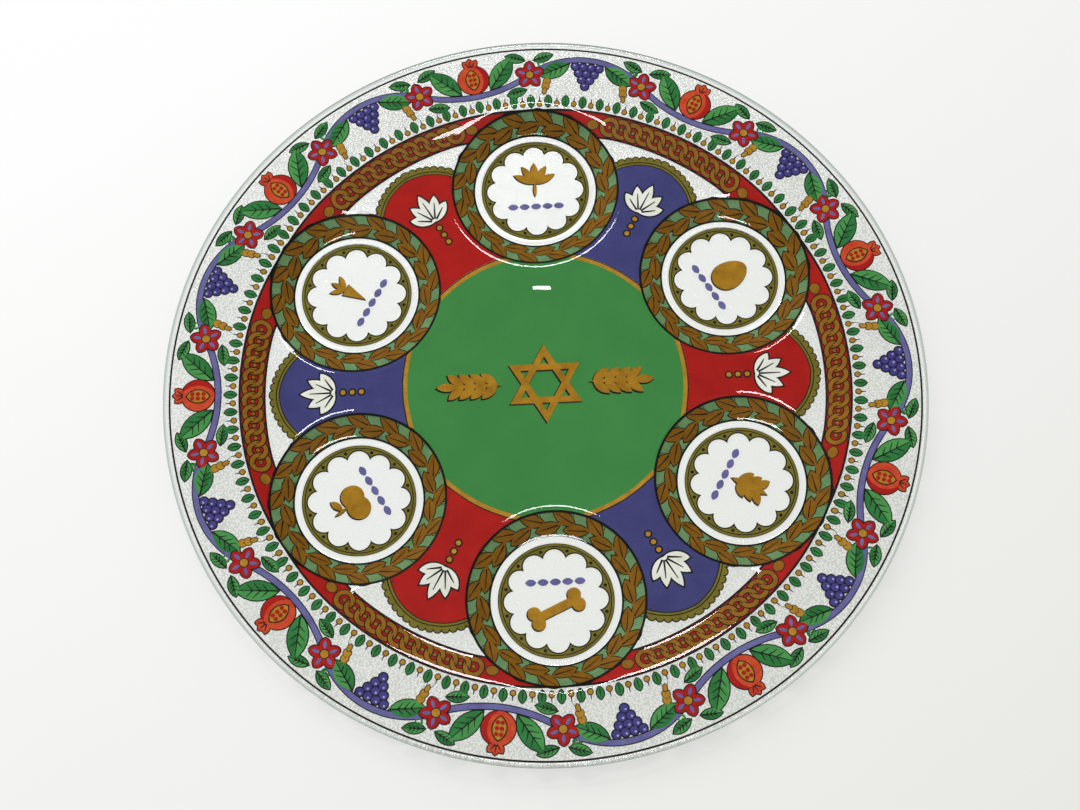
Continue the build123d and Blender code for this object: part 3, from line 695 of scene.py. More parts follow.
FILM_GAP = 0.4
VINE_WAVES = 9
PERIOD = 360 / VINE_WAVES
HALF_WAVE = PERIOD / 2
VINE_WIDTH = 2.2
VINE_SWING = 24.0
BUD_COUNT = 108
BUD_FOOT = STEP_TOP + 1.2
BUD_SIZE = (5.0, 3.0)
BEAD = 1.0
BEAD_RISE = 1.4
EDGE_LINE = PLATE_RADIUS - 2.6
EDGE_LINE_WIDTH = 0.8
BORDER_OUTER = EDGE_LINE - 1.6
VINE_RADIUS = (BUD_FOOT + BUD_SIZE[0] + BORDER_OUTER) / 2 - FILM_GAP
FRUIT = 7.0
CROWN_SIZE = (5.0, 3.0)
CROWN_FAN = 38.0
WINDOW_SIZE = (9.6, 5.6)
WINDOW_SHIFT = 0.4
SEED = 0.95
SEED_ROWS = (-2.4, 0, 2.4)
SEED_COLUMNS = (-0.6, 1.4)
SHADE_END = (6.9, -1.0)
SHADE_DEPTH = 4.6
SHADE_RISE = 8.0
GRAPE = 2.15
BERRY_STEP = 3.7
BERRY = 1.72
BERRY_LIGHT = 0.5
LIGHT_SHIFT = (0.5, 0.45)
GRAPE_ROWS = 4
FRUIT_LEAF = (18.0, 8.4)
FRUIT_LEAF_TURN = 40.0
GRAPE_LEAF = (14.5, 7.4)
GRAPE_LEAF_TURN = 118.0
SPRAY_LEAF = (9.0, 4.2)
SPRAY_LEAF_TURN = 74.0
SPRAY_REACH = 7.4
SPRAY_SPREAD = 0.8
KERNEL_SIZE = (3.2, 1.8)
KERNEL_PITCH = 2.6
KERNEL_PAIRS = 3
KERNEL_TURN = 24.0
EAR_RISE = 1.0
EAR_ANGLE = 6.6
EAR_LEAN = 12.0
AWN_SPREAD = 1.6
AWN_WIDTH = 0.36
STALK_WIDTH = 0.7
BLOSSOM_PETALS = 5
BLOSSOM_PETAL = (6.0, 4.6)
BLOSSOM_STREAK = (3.6, 1.5)
BLOSSOM_HEART = 1.7
PETAL_ROOT = 0.7
STREAK_ROOT = 2.0
OUTER_TENDRIL = (7.5, 1.35, 7.4, 66)
INNER_TENDRIL = (6.0, 1.3, 6.8, 118)
TENDRIL_WIDTH = 1.0


def vine_wave():
    """Bend radius, apex and swing of the outward and the inward half wave."""
    chord = 2 * VINE_RADIUS * math.sin(math.radians(HALF_WAVE / 2))
    middle = VINE_RADIUS * math.cos(math.radians(HALF_WAVE / 2))
    waves = []
    for swing, side in ((VINE_SWING + HALF_WAVE, 1), (VINE_SWING, -1)):
        sagitta = chord / 2 * math.tan(math.radians(swing / 2))
        waves.append((chord / (2 * math.sin(math.radians(swing))), middle + side * sagitta, swing))
    return waves


(OUT_BEND, OUT_APEX, OUT_SWING), (IN_BEND, IN_APEX, IN_SWING) = vine_wave()
FRUIT_AT = IN_APEX + VINE_WIDTH / 2 + FILM_GAP + FRUIT


def vine(width):
    outward = arc_strip(OUT_BEND, -OUT_SWING, OUT_SWING, width, 24, OUT_APEX - OUT_BEND)
    inward = arc_strip(IN_BEND, 180 - IN_SWING, 180 + IN_SWING, width, 24, IN_APEX + IN_BEND)
    return [outward, turned(inward, HALF_WAVE)]


def at_fruit(shape):
    """Places a shape drawn about the fruit's middle, with +X outwards."""
    return turned(moved(shape, FRUIT_AT), HALF_WAVE)


def berries():
    top = OUT_APEX - VINE_WIDTH / 2 - FILM_GAP - GRAPE
    spots = []
    for row in range(GRAPE_ROWS):
        in_row = GRAPE_ROWS - row
        x = top - row * BERRY_STEP * math.sqrt(3) / 2
        spots += [(x, BERRY_STEP * (k - (in_row - 1) / 2)) for k in range(in_row)]
    return spots


def leaf_places():
    """Size of each leaf in a period, with its root's radius, bearing and turn."""
    root, head = IN_APEX + VINE_WIDTH + FILM_GAP, OUT_APEX - VINE_WIDTH - FILM_GAP
    spread, droop = math.degrees(FRUIT / root), math.degrees(GRAPE_ROWS * GRAPE / head)
    places = []
    for side in (-1, 1):
        knot = HALF_WAVE / 2 * side
        places.append((FRUIT_LEAF, (root, HALF_WAVE + spread * side, FRUIT_LEAF_TURN * side)))
        places.append((GRAPE_LEAF, (head, droop * side, GRAPE_LEAF_TURN * side)))
        for twist in (-1, 1):
            place = (VINE_RADIUS + SPRAY_REACH, knot + SPRAY_SPREAD * twist, SPRAY_LEAF_TURN * twist)
            places.append((SPRAY_LEAF, place))
        place = (VINE_RADIUS - SPRAY_REACH, knot + SPRAY_SPREAD * side, (180 - SPRAY_LEAF_TURN) * side)
        places.append((SPRAY_LEAF, place))
    return places


def leaf_veins(length, width):
    veins = [rib_line(0.3, length * 0.5, length * 0.93, 0.7)]
    for share in (0.24, 0.42, 0.6):
        for side in (-1, 1):
            reach = width * 0.38 * (1 - abs(share - 0.4))
            path = [(length * share, 0), (length * share + reach * 0.6, side * reach * 0.6),
                    (length * share + reach * 0.95, side * reach)]
            veins.append(ribbon(path, 0.5, 0.5))
    return veins


def wheat_ears():
    """Kernels, awns and stalks of the two ears in a period."""
    turns = (-KERNEL_TURN, KERNEL_TURN)
    kernels = [moved(leaf(*KERNEL_SIZE), pair * KERNEL_PITCH, 0, turn)
               for pair in range(KERNEL_PAIRS) for turn in turns]
    tip = KERNEL_PAIRS * KERNEL_PITCH
    kernels.append(moved(leaf(*KERNEL_SIZE), tip))
    awns = [ribbon([(tip + 1, y * 0.3), (tip + 3, y * 0.7), (tip + 4.6, y)], AWN_WIDTH, RIB_TIP)
            for y in (-AWN_SPREAD, AWN_SPREAD)]
    stalks = [ribbon([(-5, 1.6), (-2, 0.5), (0.5, 0)], STALK_WIDTH)]
    places = [(VINE_RADIUS + EAR_RISE, EAR_ANGLE * side, 180 - EAR_LEAN * side) for side in (-1, 1)]
    parts = (kernels, awns, stalks)
    return [[at_radius(shape, *place) for place in places for shape in part] for part in parts]


def at_knots(shapes):
    """Places shapes where the vine crosses its middle line, twice in a period."""
    return [turned(moved(s, VINE_RADIUS), HALF_WAVE / 2 * side) for side in (-1, 1) for s in shapes]


def tendrils():
    """Curls beside the vine's outer and inner bends, each from (size, turns, bearing, turn of its root)."""
    curls = []
    for hand in (-1, 1):
        bends = ((OUTER_TENDRIL, OUT_APEX, 0.0, hand), (INNER_TENDRIL, IN_APEX, HALF_WAVE, -hand))
        for (size, turns, bearing, turn), apex, middle, side in bends:
            strip = ribbon(curl(size, turns, side), TENDRIL_WIDTH, 0.5)
            curls.append(at_radius(strip, apex - 1, middle + bearing * side, turn * side))
    return curls


def rim_border():
    period = dict(copies=VINE_WAVES)
    tips = (-CROWN_FAN, 0, CROWN_FAN)
    crown = [moved(leaf(*CROWN_SIZE), FRUIT - CROWN_SIZE[0] / 4, 0, turn) for turn in tips]
    fruit = [at_fruit(shape) for shape in [circle(FRUIT, points=40), *crown]]
    rib = rib_line(0.6, 2, 3.6, 0.6)
    crown_ribs = [at_fruit(moved(rib, FRUIT - 1, 0, turn)) for turn in tips]
    window = at_fruit(moved(leaf(*WINDOW_SIZE), -WINDOW_SIZE[0] / 2, WINDOW_SHIFT))
    seeds = [at_fruit(circle(SEED, x, y, 12)) for x in SEED_ROWS for y in SEED_COLUMNS]
    x, y = SHADE_END
    hollow = arc_through((x, y), (0, -SHADE_DEPTH), (-x, y))
    shade = at_fruit(np.concatenate([arc(FRUIT, SHADE_RISE - 180, -SHADE_RISE, 20), hollow]))
    places = leaf_places()
    leaves = [at_radius(leaf(*size), *place) for size, place in places]
    lights = [at_radius(half_leaf(*size), *place) for size, place in places]
    veins = [at_radius(vein, *place) for size, place in places for vein in leaf_veins(*size)]
    kernels, awns, stalks = wheat_ears()
    fan = [360 / BLOSSOM_PETALS * k for k in range(BLOSSOM_PETALS)]
    petals = at_knots([turned(moved(leaf(*BLOSSOM_PETAL), PETAL_ROOT), angle) for angle in fan])
    streaks = at_knots([turned(moved(leaf(*BLOSSOM_STREAK), STREAK_ROOT), angle) for angle in fan])
    hearts = at_knots([circle(BLOSSOM_HEART, points=16)])
    curls = tendrils()
    spots = berries()

    backs = inked([*fruit, *leaves]) + vine(VINE_WIDTH + 2 * HALF_LINE)
    backs += inked([*kernels, *curls], FINE_INK) + [circle(BERRY + INK_UNDER, *p, 16) for p in spots]
    film("rim_ink", INK_BLACK, [
        layer(0, backs + awns + stalks), layer(4, inked([window])), layer(4, veins + crown_ribs),
        layer(3, inked(petals)), layer(5, inked(hearts, ROUND_INK))], **period)
    lit = [moved(circle(BERRY_LIGHT, *p, 8), *LIGHT_SHIFT) for p in spots]
    # Name, enamel, the node that it stands for and what is drawn in each layer
    colours = [
        ("vine", VIOLET, "rim_vine", {1: vine(VINE_WIDTH)}),
        ("leaves", LEAF, "rim_leaf", {2: leaves}),
        ("leaf_lights", LIGHT_LEAF, None, {3: lights}),
        ("tendrils", LEAF, None, {1: curls}),
        ("pomegranates", ORANGE, "rim_fruit", {2: fruit}),
        ("fruit_shade", RED, None, {3: [shade], 6: seeds}),
        ("fruit_window", OCHRE, None, {5: [window]}),
        ("grapes", GRAPE_VIOLET, "rim_grape", {2: [circle(BERRY, *p, 16) for p in spots]}),
        ("grape_lights", PALE_VIOLET, None, {3: lit}),
        ("wheat", OCHRE, "rim_wheat", {2: kernels}),
        ("blossoms", RED, "rim_blossom", {4: petals}),
        ("blossom_streaks", VIOLET, None, {5: streaks}),
        ("blossom_hearts", OCHRE, None, {6: hearts}),
    ]
    for name, enamel, node, drawn in colours:
        film(name, enamel, [layer(*part) for part in drawn.items()], node=node, **period)

    bud = moved(leaf(*BUD_SIZE), BUD_FOOT)
    rib = moved(rib_line(0.8, 2, 4, 0.6), BUD_FOOT)
    bead = turned(circle(BEAD, BUD_FOOT + BEAD_RISE, 0, 12), 180 / BUD_COUNT)
    stitch = turned(moved(rib_line(2.4, 3.4, 4.6, 0.7), BUD_FOOT), 180 / BUD_COUNT)
    film("bud_ink", INK_BLACK, [
        layer(0, [grown(bud, HALF_LINE), grown(bead, ROUND_INK), stitch]), layer(2, [rib])], copies=BUD_COUNT)
    film("buds", LEAF, [layer(1, [bud])], copies=BUD_COUNT, node="bud_row")
    film("beads", OCHRE, [layer(1, [bead])], copies=BUD_COUNT, node="bead_row")
    half = EDGE_LINE_WIDTH / 2
    line = hoop(EDGE_LINE + half, EDGE_LINE - half, PLATE_POINTS)
    film("edge_line", INK_BLACK, [layer(0, *line)], node="edge_line", wobble=0.0)


# Band on the step: red ground, two ink lines and a chain of interlaced ochre rings

BAND_FOOT = FLOOR_RADIUS + 0.2
BAND_HEAD = STEP_TOP - 0.1
BAND_LAP = 0.7
LINK_RADIUS = 3.4
LINK_STROKE = 1.8
LINK_SPACING = 5.6
LINK_COUNT = 12
LINK_LAP = 0.5
CHAIN_DOT = 0.8
FINIAL_SIZE = (5.2, 4.0)


def step_band():
    middle = (FLOOR_RADIUS + STEP_TOP) / 2
    wells = [circle(WELL_MOUTH - BAND_LAP, *c, points=WELL_POINTS) for c in well_centres()]

    def around(order, high, low):
        outline, hole = hoop(high, low, PLATE_POINTS)
        return layer(order, outline, hole + wells, BEND_GRID)

    film("band_ground", RED, [around(0, BAND_HEAD, BAND_FOOT)], node="band_ground", wobble=0.0)
    lines = [around(1, radius + HALF_LINE, radius - HALF_LINE) for radius in (BAND_FOOT, BAND_HEAD)]

    step = math.degrees(LINK_SPACING / middle)
    over, under, dots = [], [], []
    for k in range(LINK_COUNT):
        bearing = step * (k - (LINK_COUNT - 1) / 2)
        for quarter in range(4):
            pile = over if quarter % 2 == 0 else under
            pile.append((bearing, 90 * quarter - 90))
        dots.append(turned(circle(CHAIN_DOT, middle, 0, 12), bearing))
    # A leaf points from each end of the chain towards the well
    end = step * (LINK_COUNT - 1) / 2 + math.degrees((LINK_RADIUS + LINK_STROKE) / middle)
    finials = [at_radius(leaf(*FINIAL_SIZE), middle, end * side, 90 * side) for side in (-1, 1)]

    def quarters(pile, width):
        strips = [(arc_strip(LINK_RADIUS, a - LINK_LAP, a + 90 + LINK_LAP, width, 8), bearing)
                  for bearing, a in pile]
        return [turned(moved(strip, middle), bearing) for strip, bearing in strips]

    sector = dict(copies=WELL_COUNT, start=FIRST_WELL - SECTOR / 2)
    film("band_lines", INK_BLACK, lines, wobble=0.0)
    film("chain_ink", INK_BLACK, [
        layer(1, quarters(under, LINK_STROKE + 2 * HALF_LINE)),
        layer(3, quarters(over, LINK_STROKE + 2 * HALF_LINE)),
        layer(1, inked([*dots, *finials], FINE_INK))], **sector)
    film("chain", CHAIN, [
        layer(2, quarters(under, LINK_STROKE)), layer(4, quarters(over, LINK_STROKE)),
        layer(2, [*dots, *finials])], node="band_chain", **sector)


# Wells: a laurel wreath on the wall, a many-lobed collar and a small picture of the food on the floor

WREATH_OUTER = WELL_MOUTH - 1.0
WREATH_INNER = WELL_FLOOR + 0.3
LAUREL_STATIONS = 16
LAUREL_SIZE = (11.0, 5.0)
LAUREL_TILTS = {-1: 21.0, 1: 17.0}
LAUREL_ROOT = 0.3
LAUREL_INK = 0.42
STEM_WIDTH = 0.9
HATCH_LENGTH = 1.8
HATCH_WIDTH = 0.32
HATCH_AT = 3.9
HATCH_BEARINGS = (2.5, 4, 5.5)
HATCH_TURN = 20
COLLAR_LOBES = 12
LOBE_PITCH = 17.2
LOBE_RADIUS = 5.4
COLLAR_STUD = 0.75
COLLAR_STUD_INSET = 2.6
COLLAR_LINE = (0.9, 1.3)
COLLAR_INK = 0.3
COLLAR_POINTS = 96
SIGN_HEIGHT = 17.0
SIGN_LIFT = 3.6
SIGN_INK = 0.25
SIGN_INK_SHIFT = (-0.3, -0.35)
LOZENGE_SIZE = (4.8, 3.0)
LOZENGE_COUNT = 5


def in_well(shape):
    return moved(shape, WELL_PITCH)


def well_wreath():
    middle = (WREATH_OUTER + WREATH_INNER) / 2
    well = dict(copies=WELL_COUNT, start=FIRST_WELL)
    ring = hoop(WREATH_OUTER, WREATH_INNER, WELL_POINTS, WELL_PITCH)
    film("ring_ground", SAGE, [layer(0, *ring, BEND_GRID)], node="ring_ground", **well)
    vein = rib_line(1, 5, 9.4, 0.55)
    dash = ribbon([(-HATCH_LENGTH / 2, 0), (0, 0), (HATCH_LENGTH / 2, 0)], HATCH_WIDTH)
    blades, ribs, hatch = [], [], []
    for k in range(LAUREL_STATIONS):
        for side in (-1, 1):
            bearing = 360 / LAUREL_STATIONS * (k + 0.25 * side)
            place = (middle + side * LAUREL_ROOT, bearing, 90 - LAUREL_TILTS[side] * side)
            blades.append(in_well(at_radius(leaf(*LAUREL_SIZE, 7), *place)))
            ribs.append(in_well(at_radius(vein, *place)))
            for stroke in HATCH_BEARINGS:
                place = (middle + side * HATCH_AT, bearing + stroke, HATCH_TURN)
                hatch.append(in_well(at_radius(dash, *place)))
    stem = hoop(middle + STEM_WIDTH / 2, middle - STEM_WIDTH / 2, 90, WELL_PITCH)
    film("ring_laurel", BRONZE, [layer(2, blades, grid=BEND_GRID), layer(2, *stem)],
         node="ring_laurel", **well)
    lines = [layer(1, inked(blades, LAUREL_INK), grid=BEND_GRID), layer(3, ribs), layer(1, hatch)]
    lines += [layer(3, *hoop(radius + HALF_LINE, radius - HALF_LINE, WELL_POINTS, WELL_PITCH))
              for radius in (WREATH_INNER, WREATH_OUTER)]
    film("ring_ink", INK_BLACK, lines, **well)

    rim = RECESS_RADIUS - FILM_GAP

    def lobes(radius):
        lobe = circle(radius, LOBE_PITCH, 0, 36)
        rounds = [turned(lobe, 360 / COLLAR_LOBES * k) for k in range(COLLAR_LOBES)]
        return [in_well(s) for s in [circle(LOBE_PITCH, points=72), *rounds]]

    def collar(order, radius, lobe):
        outline = circle(radius, WELL_PITCH, 0, COLLAR_POINTS)
        return layer(order, [outline], lobes(lobe), base=RECESS_HEIGHT)

    stud = moved(circle(COLLAR_STUD, points=12), rim - COLLAR_STUD_INSET)
    studs = [in_well(turned(stud, 360 / COLLAR_LOBES * (k + 0.5))) for k in range(COLLAR_LOBES)]
    edges = [rim - inset for inset in COLLAR_LINE]
    line = layer(2, *hoop(*edges, COLLAR_POINTS, WELL_PITCH), base=RECESS_HEIGHT)
    film("well_collar", OLIVE, [collar(1, rim, LOBE_RADIUS)], node="well_scallop", **well)
    film("collar_ink", INK_BLACK, [
        collar(0, rim + COLLAR_INK, LOBE_RADIUS - INK_UNDER), line,
        layer(2, studs, base=RECESS_HEIGHT)], **well)


# Signs, each drawn upright about the origin at a height

def egg_sign(h):
    t = np.linspace(0, 2 * math.pi, 40, endpoint=False)
    return [np.stack([0.37 * h * np.cos(t) * (1 - 0.16 * np.sin(t)), 0.5 * h * np.sin(t)], 1)]


def sprig_sign(h):
    blades = [turned(leaf(h * 0.62, h * 0.2), 90 + a) for a in (-64, -32, 0, 32, 64)]
    return [*blades, moved(leaf(h * 0.42, h * 0.09), 0, -h * 0.38, 90)]


def herb_sign(h):
    lobes = [moved(leaf(h * 0.44, h * 0.22), 0, h * y, a) for y in (-0.3, -0.08, 0.14) for a in (38, 142)]
    return [moved(leaf(h, h * 0.24), 0, -h / 2, 90), *lobes]


def bone_sign(h):
    knob = h * 0.17
    shaft = np.array([(-0.55, -0.11), (0.55, -0.11), (0.55, 0.11), (-0.55, 0.11)]) * h
    ends = [circle(knob, 0.55 * h * x, knob * 0.8 * y, 18) for x in (-1, 1) for y in (-1, 1)]
    return [turned(s, 24) for s in [shaft, *ends]]


def apple_sign(h):
    half = h * 0.3
    halves = [circle(half, half * 0.55 * x, -h * 0.12) for x in (-1, 1)]
    stalk = moved(leaf(h * 0.4, h * 0.08), 0, h * 0.1, 96)
    return [*halves, stalk, moved(leaf(h * 0.38, h * 0.18), 0, h * 0.26, 24)]


def root_sign(h):
    root = np.array([(0, -0.5), (0.17, 0.12), (-0.17, 0.12)]) * h
    blades = [moved(leaf(h * 0.42, h * 0.14), 0, h * 0.12, 90 + a) for a in (-40, 0, 40)]
    return [root, *blades]


def well_signs():
    signs = [egg_sign, sprig_sign, root_sign, apple_sign, bone_sign, herb_sign]
    gold, ink = [], []
    for k, sign in enumerate(signs):
        for shape in sign(SIGN_HEIGHT):
            upright = turned(moved(shape, 0, SIGN_LIFT), -90)
            gold.append(at_radius(upright, WELL_PITCH, FIRST_WELL + SECTOR * k))
            ink.append(moved(grown(gold[-1], SIGN_INK), *SIGN_INK_SHIFT))
    film("sign_ink", INK_BLACK, [layer(0, ink, base=RECESS_HEIGHT)])
    film("sign_gold", GOLD, [layer(1, gold, base=RECESS_HEIGHT)], node="sign_gold")
    length, width = LOZENGE_SIZE
    below = SIGN_HEIGHT / 2 + width - SIGN_LIFT
    spots = [(k - (LOZENGE_COUNT - 1) / 2) * (length + FILM_GAP) - length / 2 for k in range(LOZENGE_COUNT)]
    row = [in_well(turned(moved(leaf(*LOZENGE_SIZE), x, -below), -90)) for x in spots]
    film("sign_violet", VIOLET, [layer(1, row, base=RECESS_HEIGHT)],
         copies=WELL_COUNT, start=FIRST_WELL, node="sign_violet")


# Panels between the wells, and the green middle with its gold star

CLEAR_OF_WELL = WELL_MOUTH - 0.6
CENTRE_RADIUS = WELL_PITCH - WELL_MOUTH + 4.2
CENTRE_BORDER = 1.8
PANEL_APEX = FLOOR_RADIUS - 6.5
PANEL_SHOULDER = 12.0
PANEL_WIDTH = 40.0
PANEL_BORDER = 3.0
BORDER_GAP = 0.3
BORDER_LINE = (0.25, -0.2)
PALMETTE_DROP = 12
PETAL_SIZE = (15.0, 4.8)
PETAL_FAN = 28.0
PETAL_SHORTER = 2.0
PETAL_RIB_SHORTER = 1.6
PETAL_INK = 0.7
STUD = 1.1
STUD_PITCH = 4.0
STUD_COUNT = 3
STUD_DROP = 3.6
PEARL = 1.5
PEARL_PITCH = 3.3


def panels():
    wells = [circle(CLEAR_OF_WELL, *turned([[WELL_PITCH, 0]], s * FIRST_WELL)[0], points=WELL_POINTS)
             for s in (-1, 1)]
    away = [*wells, circle(CENTRE_RADIUS + CENTRE_BORDER + INK, points=CENTRE_POINTS)]
    ground = arch(PANEL_APEX, PANEL_SHOULDER, PANEL_WIDTH)
    outer = arch(PANEL_APEX + PANEL_BORDER, PANEL_SHOULDER + PANEL_BORDER, PANEL_WIDTH + 2 * PANEL_BORDER)
    root = PANEL_APEX - PANEL_SHOULDER - PALMETTE_DROP
    petals, ribs = [], []
    for k in (-2, -1, 0, 1, 2):
        length, width = PETAL_SIZE
        rib = rib_line(1.5, 6, 11 - abs(k) * PETAL_RIB_SHORTER, 0.9)
        petals.append(moved(leaf(length - abs(k) * PETAL_SHORTER, width), root, 0, PETAL_FAN * k))
        ribs.append(moved(rib, root, 0, PETAL_FAN * k))
    studs = [circle(STUD, root - STUD_DROP - STUD_PITCH * k, 0, 14) for k in range(STUD_COUNT)]
    every = dict(copies=WELL_COUNT)
    for name, enamel, start in (("panel_red", RED, 0), ("panel_blue", BLUE, SECTOR)):
        field = layer(2, [ground], away, FLAT_GRID)
        film(name, enamel, [field], copies=WELL_COUNT // 2, start=start, node=name)
    edge = [outer, *pearl_row(outer)]
    film("panel_border", OLIVE, [layer(1, edge, [grown(ground, BORDER_GAP), *away], FLAT_GRID)],
         node="panel_border", **every)
    film("panel_palmette", WHITE, [layer(4, petals)], node="panel_palmette", **every)
    film("panel_studs", OCHRE, [layer(4, studs)], **every)
    line, inside = [grown(grown(ground, PANEL_BORDER / 2), by) for by in BORDER_LINE]
    film("panel_ink", INK_BLACK, [
        layer(0, inked(edge), [grown(outer, -INK_UNDER), *away], FLAT_GRID),
        layer(1.5, [grown(ground, HALF_LINE)], [grown(ground, -INK_UNDER), *away], FLAT_GRID),
        layer(2, [line], [inside, *away]),
        layer(3, inked([*petals, *studs], PETAL_INK)), layer(5, ribs)], **every)


def pearl_row(outline):
    """Small rounds strung along the curved outer end of an arch."""
    closed = np.concatenate([outline, outline[:1]])
    along = np.concatenate([[0], np.cumsum(np.linalg.norm(np.diff(closed, axis=0), axis=1))])
    spots = np.arange(0, along[-1], PEARL_PITCH)
    path = np.stack([np.interp(spots, along, closed[:, axis]) for axis in (0, 1)], 1)
    return [circle(PEARL, x, y, 14) for x, y in path if x > PANEL_APEX - PANEL_SHOULDER]


STAR_RADIUS = 18.0
STAR_STROKE = 2.8
STAR_INK = 0.3
STAR_INK_SHIFT = (-0.4, -0.45)
SPRIG_LENGTH = 24.0
SPRIG_STEM = 2.0
SPRIG_GAP = 1.0
SPRIG_START = 0.4
SPRIG_PAIRS = 4
SPRIG_LEAF = (9.0, 3.8)
SPRIG_LEAF_TURN = 40.0


def star_and_sprigs():
    frames = []
    for turn in (90, -90):
        corners = turned(circle(STAR_RADIUS, points=3), turn)
        inner = turned(circle(STAR_RADIUS - 2 * STAR_STROKE, points=3), turn)
        for i, j in ((0, 1), (1, 2), (2, 0)):
            frames.append(np.array([corners[i], corners[j], inner[j], inner[i]]))
    root = STAR_RADIUS + SPRIG_GAP
    sprig = [moved(leaf(SPRIG_LENGTH, SPRIG_STEM), root)]
    last = SPRIG_LENGTH - SPRIG_LEAF[0] / 2
    step = last / SPRIG_PAIRS
    for k in range(SPRIG_PAIRS):
        for turn in (-SPRIG_LEAF_TURN, SPRIG_LEAF_TURN):
            sprig.append(moved(leaf(*SPRIG_LEAF), root + step * (k + SPRIG_START), 0, turn))
    sprig.append(moved(leaf(*SPRIG_LEAF), root + last))
    return frames + sprig + [turned(s, 180) for s in sprig]


def centre():
    wells = [circle(CLEAR_OF_WELL, *c, points=WELL_POINTS) for c in well_centres()]

    def around(order, outer, inner):
        outline, hole = hoop(outer, inner, CENTRE_POINTS)
        return layer(order, outline, hole + wells, FLAT_GRID)

    edge = CENTRE_RADIUS + CENTRE_BORDER
    field = layer(2, [circle(CENTRE_RADIUS, points=CENTRE_POINTS)], wells, FLAT_GRID)
    gold = star_and_sprigs()
    film("centre_field", GREEN, [field], node="centre_field")
    film("centre_border", OCHRE, [around(1, edge, CENTRE_RADIUS)], node="centre_border")
    film("centre_ink", INK_BLACK, [
        around(0, edge + INK, edge - INK_UNDER),
        layer(3, [moved(shape, *STAR_INK_SHIFT) for shape in inked(gold, STAR_INK)])])
    film("centre_ornament", GOLD, [layer(4, gold)], node="centre_ornament")


# Surroundings

TABLE_HALF = 4.0
TABLE_DROP = 0.0002
TABLE_CLOUDS = 40.0
OWN_WHITE = 0.5
OWN_WHITE_IN_GLASS = 0.85


def tabletop():
    """White laminate: a plain matt white, with painted shade that greys it towards the front right, away from
    the window lamp.

    Half of what is seen of it straight, and more of what is seen in the glass, is its own white, so that it
    stays pale and keeps a faint shadow.
    """
    material, tree, where = new_finish("white_laminate")
    along = add(tree, "ShaderNodeVectorMath", {"operation": "DOT_PRODUCT"}, {0: where, 1: (0.55, -0.83, 0.0)})
    cloud = add(tree, "ShaderNodeTexNoise", inputs={
        "Vector": where, "Scale": 1 / (TABLE_CLOUDS * MM), "Detail": 3.0})
    path = add(tree, "ShaderNodeLightPath").outputs
    v = reckon(tree, {}, [
        ("painted falloff", "MULTIPLY_ADD", cloud.outputs["Fac"], 0.02, along.outputs["Value"]),
        ("straight", "MULTIPLY", path["Is Camera Ray"], OWN_WHITE),
        ("in glass", "MAXIMUM", path["Is Glossy Ray"], path["Is Transmission Ray"]),
        ("own white", "MULTIPLY_ADD", "in glass", OWN_WHITE_IN_GLASS, "straight"),
    ])
    # Painted shade: the white greys towards the front right, where the window lamp's light falls off, with a
    # faint cloud
    shaded_tint = graded(tree, v["painted falloff"], -0.22, 0.28, "#fbfcfb", "#ecece8")
    shader = add(tree, "ShaderNodeBsdfPrincipled", inputs={
        "Base Color": shaded_tint, "Roughness": 0.7, "Specular IOR Level": 0.2})
    white = add(tree, "ShaderNodeEmission", inputs={"Color": shaded_tint})
    surface = add(tree, "ShaderNodeMixShader", inputs={
        0: v["own white"], 1: shader.outputs[0], 2: white.outputs[0]})
    add(tree, "ShaderNodeOutputMaterial", inputs={"Surface": surface.outputs[0]})
    mesh = bpy.data.meshes.new("tabletop")
    corners = [(-1, -1), (1, -1), (1, 1), (-1, 1)]
    mesh.from_pydata([(x * TABLE_HALF, y * TABLE_HALF, 0) for x, y in corners], [], [(0, 1, 2, 3)])
    mesh.materials.append(material)
    table = bpy.data.objects.new("tabletop", mesh)
    table.location.z = -TABLE_DROP
    bpy.context.collection.objects.link(table)


def lamp(name, tilt_x, tilt_y, distance, size, power, in_gloss=True):
    """A soft lamp over the plate, leaning from the vertical by degrees along X and Y."""
    data = bpy.data.lights.new(name, "AREA")
    data.shape = "RECTANGLE"
    data.size, data.size_y = size
    data.energy = power
    lean = [math.tan(math.radians(tilt)) for tilt in (tilt_x, tilt_y)]
    place = Vector((*lean, 1)).normalized() * distance
    item = bpy.data.objects.new(name, data)
    item.location = place
    item.rotation_euler = (-place).to_track_quat("-Z", "Y").to_euler()
    item.visible_glossy = in_gloss
    bpy.context.collection.objects.link(item)


ROOM_LIGHT = 0.49
ROOM_IN_GLOSS = 0.05
ROOM_SEEN = 0.46


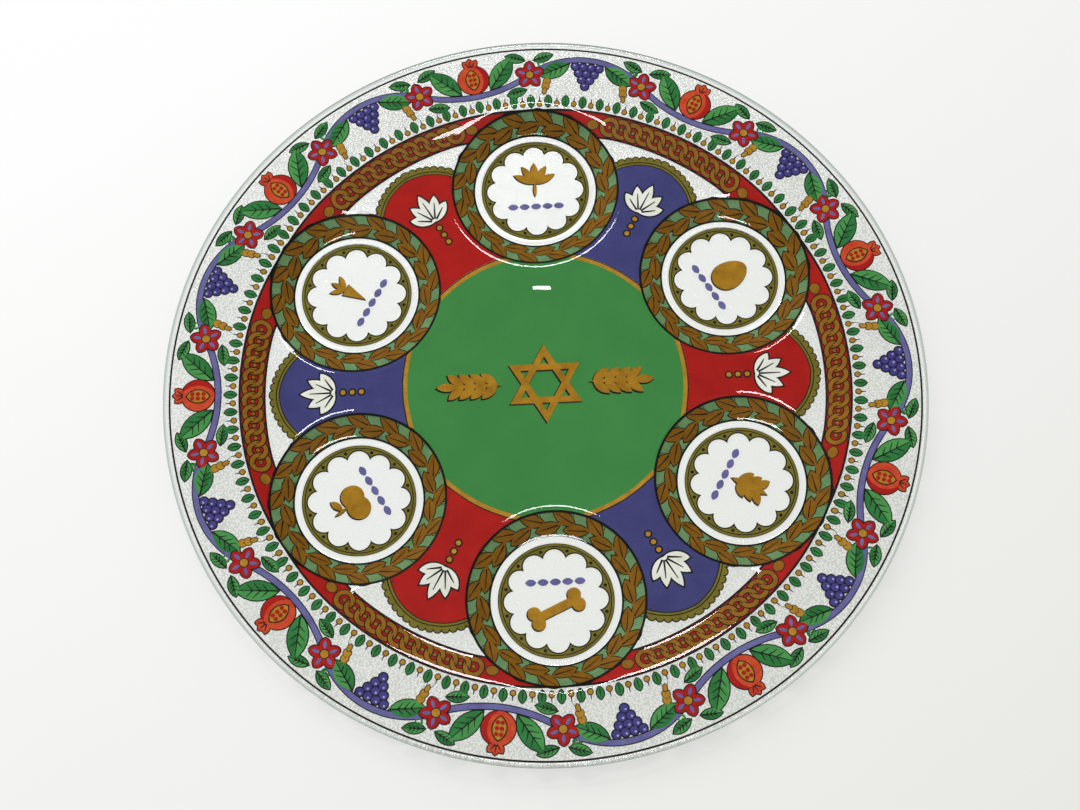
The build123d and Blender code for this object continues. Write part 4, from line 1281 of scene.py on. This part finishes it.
def lighting():
    """An evenly lit room, a broad window behind on the left, two ceiling tubes and one small bulb."""
    world = bpy.data.worlds.new("room")
    world.use_nodes = True
    tree = world.node_tree
    tree.nodes.clear()
    path = add(tree, "ShaderNodeLightPath").outputs
    # The room's ceiling is dimmer than the light it spreads, so reflections in the glass stay dark
    v = reckon(tree, {}, [
        ("spread", "MULTIPLY_ADD", path["Is Glossy Ray"], ROOM_IN_GLOSS - ROOM_LIGHT, ROOM_LIGHT),
        ("straight", "MAXIMUM", path["Is Camera Ray"], path["Is Transmission Ray"]),
        ("seen", "MULTIPLY_ADD", "straight", ROOM_SEEN, "spread"),
    ])
    room = add(tree, "ShaderNodeBackground", inputs={"Color": (1, 1, 1, 1), "Strength": v["seen"]})
    add(tree, "ShaderNodeOutputWorld", inputs={"Surface": room.outputs[0]})
    bpy.context.scene.world = world
    # Name, lean along X and Y in degrees, distance and size in metres, power in watts
    lamp("window", -34, 40, 2.2, (2.0, 1.5), 20.5, in_gloss=False)
    lamp("back_tube", 0.7, 34.4, 2.12, (0.5, 0.16), 4.8)
    lamp("ceiling_tube", 1.0, -9.5, 1.7, (0.55, 0.18), 5.5)
    lamp("bulb", 0.9, 23.7, 2.0, (0.03, 0.005), 0.02)
    bpy.context.scene.view_settings.view_transform = "Standard"


# Camera: found from the ellipses of the plate's edge, step and wells in the 1080 by 810 photograph

FRAME_PIXELS = (1080, 810)
FOCAL_PIXELS = 1570
CAMERA_TILT = 19.14
CAMERA_DISTANCE = 0.685
PLATE_SPIN = 2.4
CAMERA_ROLL = -0.4
PLATE_PIXEL = (545.5, 383.5)
PLATE_MIDDLE = (GLASS + WELL_DEPTH) * 0.7
SENSOR = 36.0


def camera():
    tilt = math.radians(CAMERA_TILT)
    around = Matrix.Rotation(math.radians(-PLATE_SPIN), 3, "Z")
    back = around @ Vector((0, -math.sin(tilt), math.cos(tilt)))
    right = around @ Vector((1, 0, 0))
    up = back.cross(right)
    middle = Vector((0, 0, PLATE_MIDDLE * MM))
    per_pixel = CAMERA_DISTANCE / FOCAL_PIXELS
    across = (PLATE_PIXEL[0] - FRAME_PIXELS[0] / 2) * per_pixel
    above = (FRAME_PIXELS[1] / 2 - PLATE_PIXEL[1]) * per_pixel
    place = middle + back * CAMERA_DISTANCE
    aim = middle - right * across - up * above
    data = bpy.data.cameras.new("camera")
    data.sensor_width = SENSOR
    data.lens = SENSOR * FOCAL_PIXELS / FRAME_PIXELS[0]
    item = bpy.data.objects.new("camera", data)
    look = (place - aim).normalized()
    side = up.cross(look).normalized()
    basis = Matrix((side, look.cross(side), look)).transposed()
    roll = Matrix.Rotation(math.radians(CAMERA_ROLL), 4, "Z")
    item.matrix_world = Matrix.Translation(place) @ basis.to_4x4() @ roll
    bpy.context.collection.objects.link(item)
    bpy.context.scene.camera = item


camera()
lighting()
tabletop()
glass_plate()
rim_border()
step_band()
well_wreath()
well_signs()
panels()
centre()
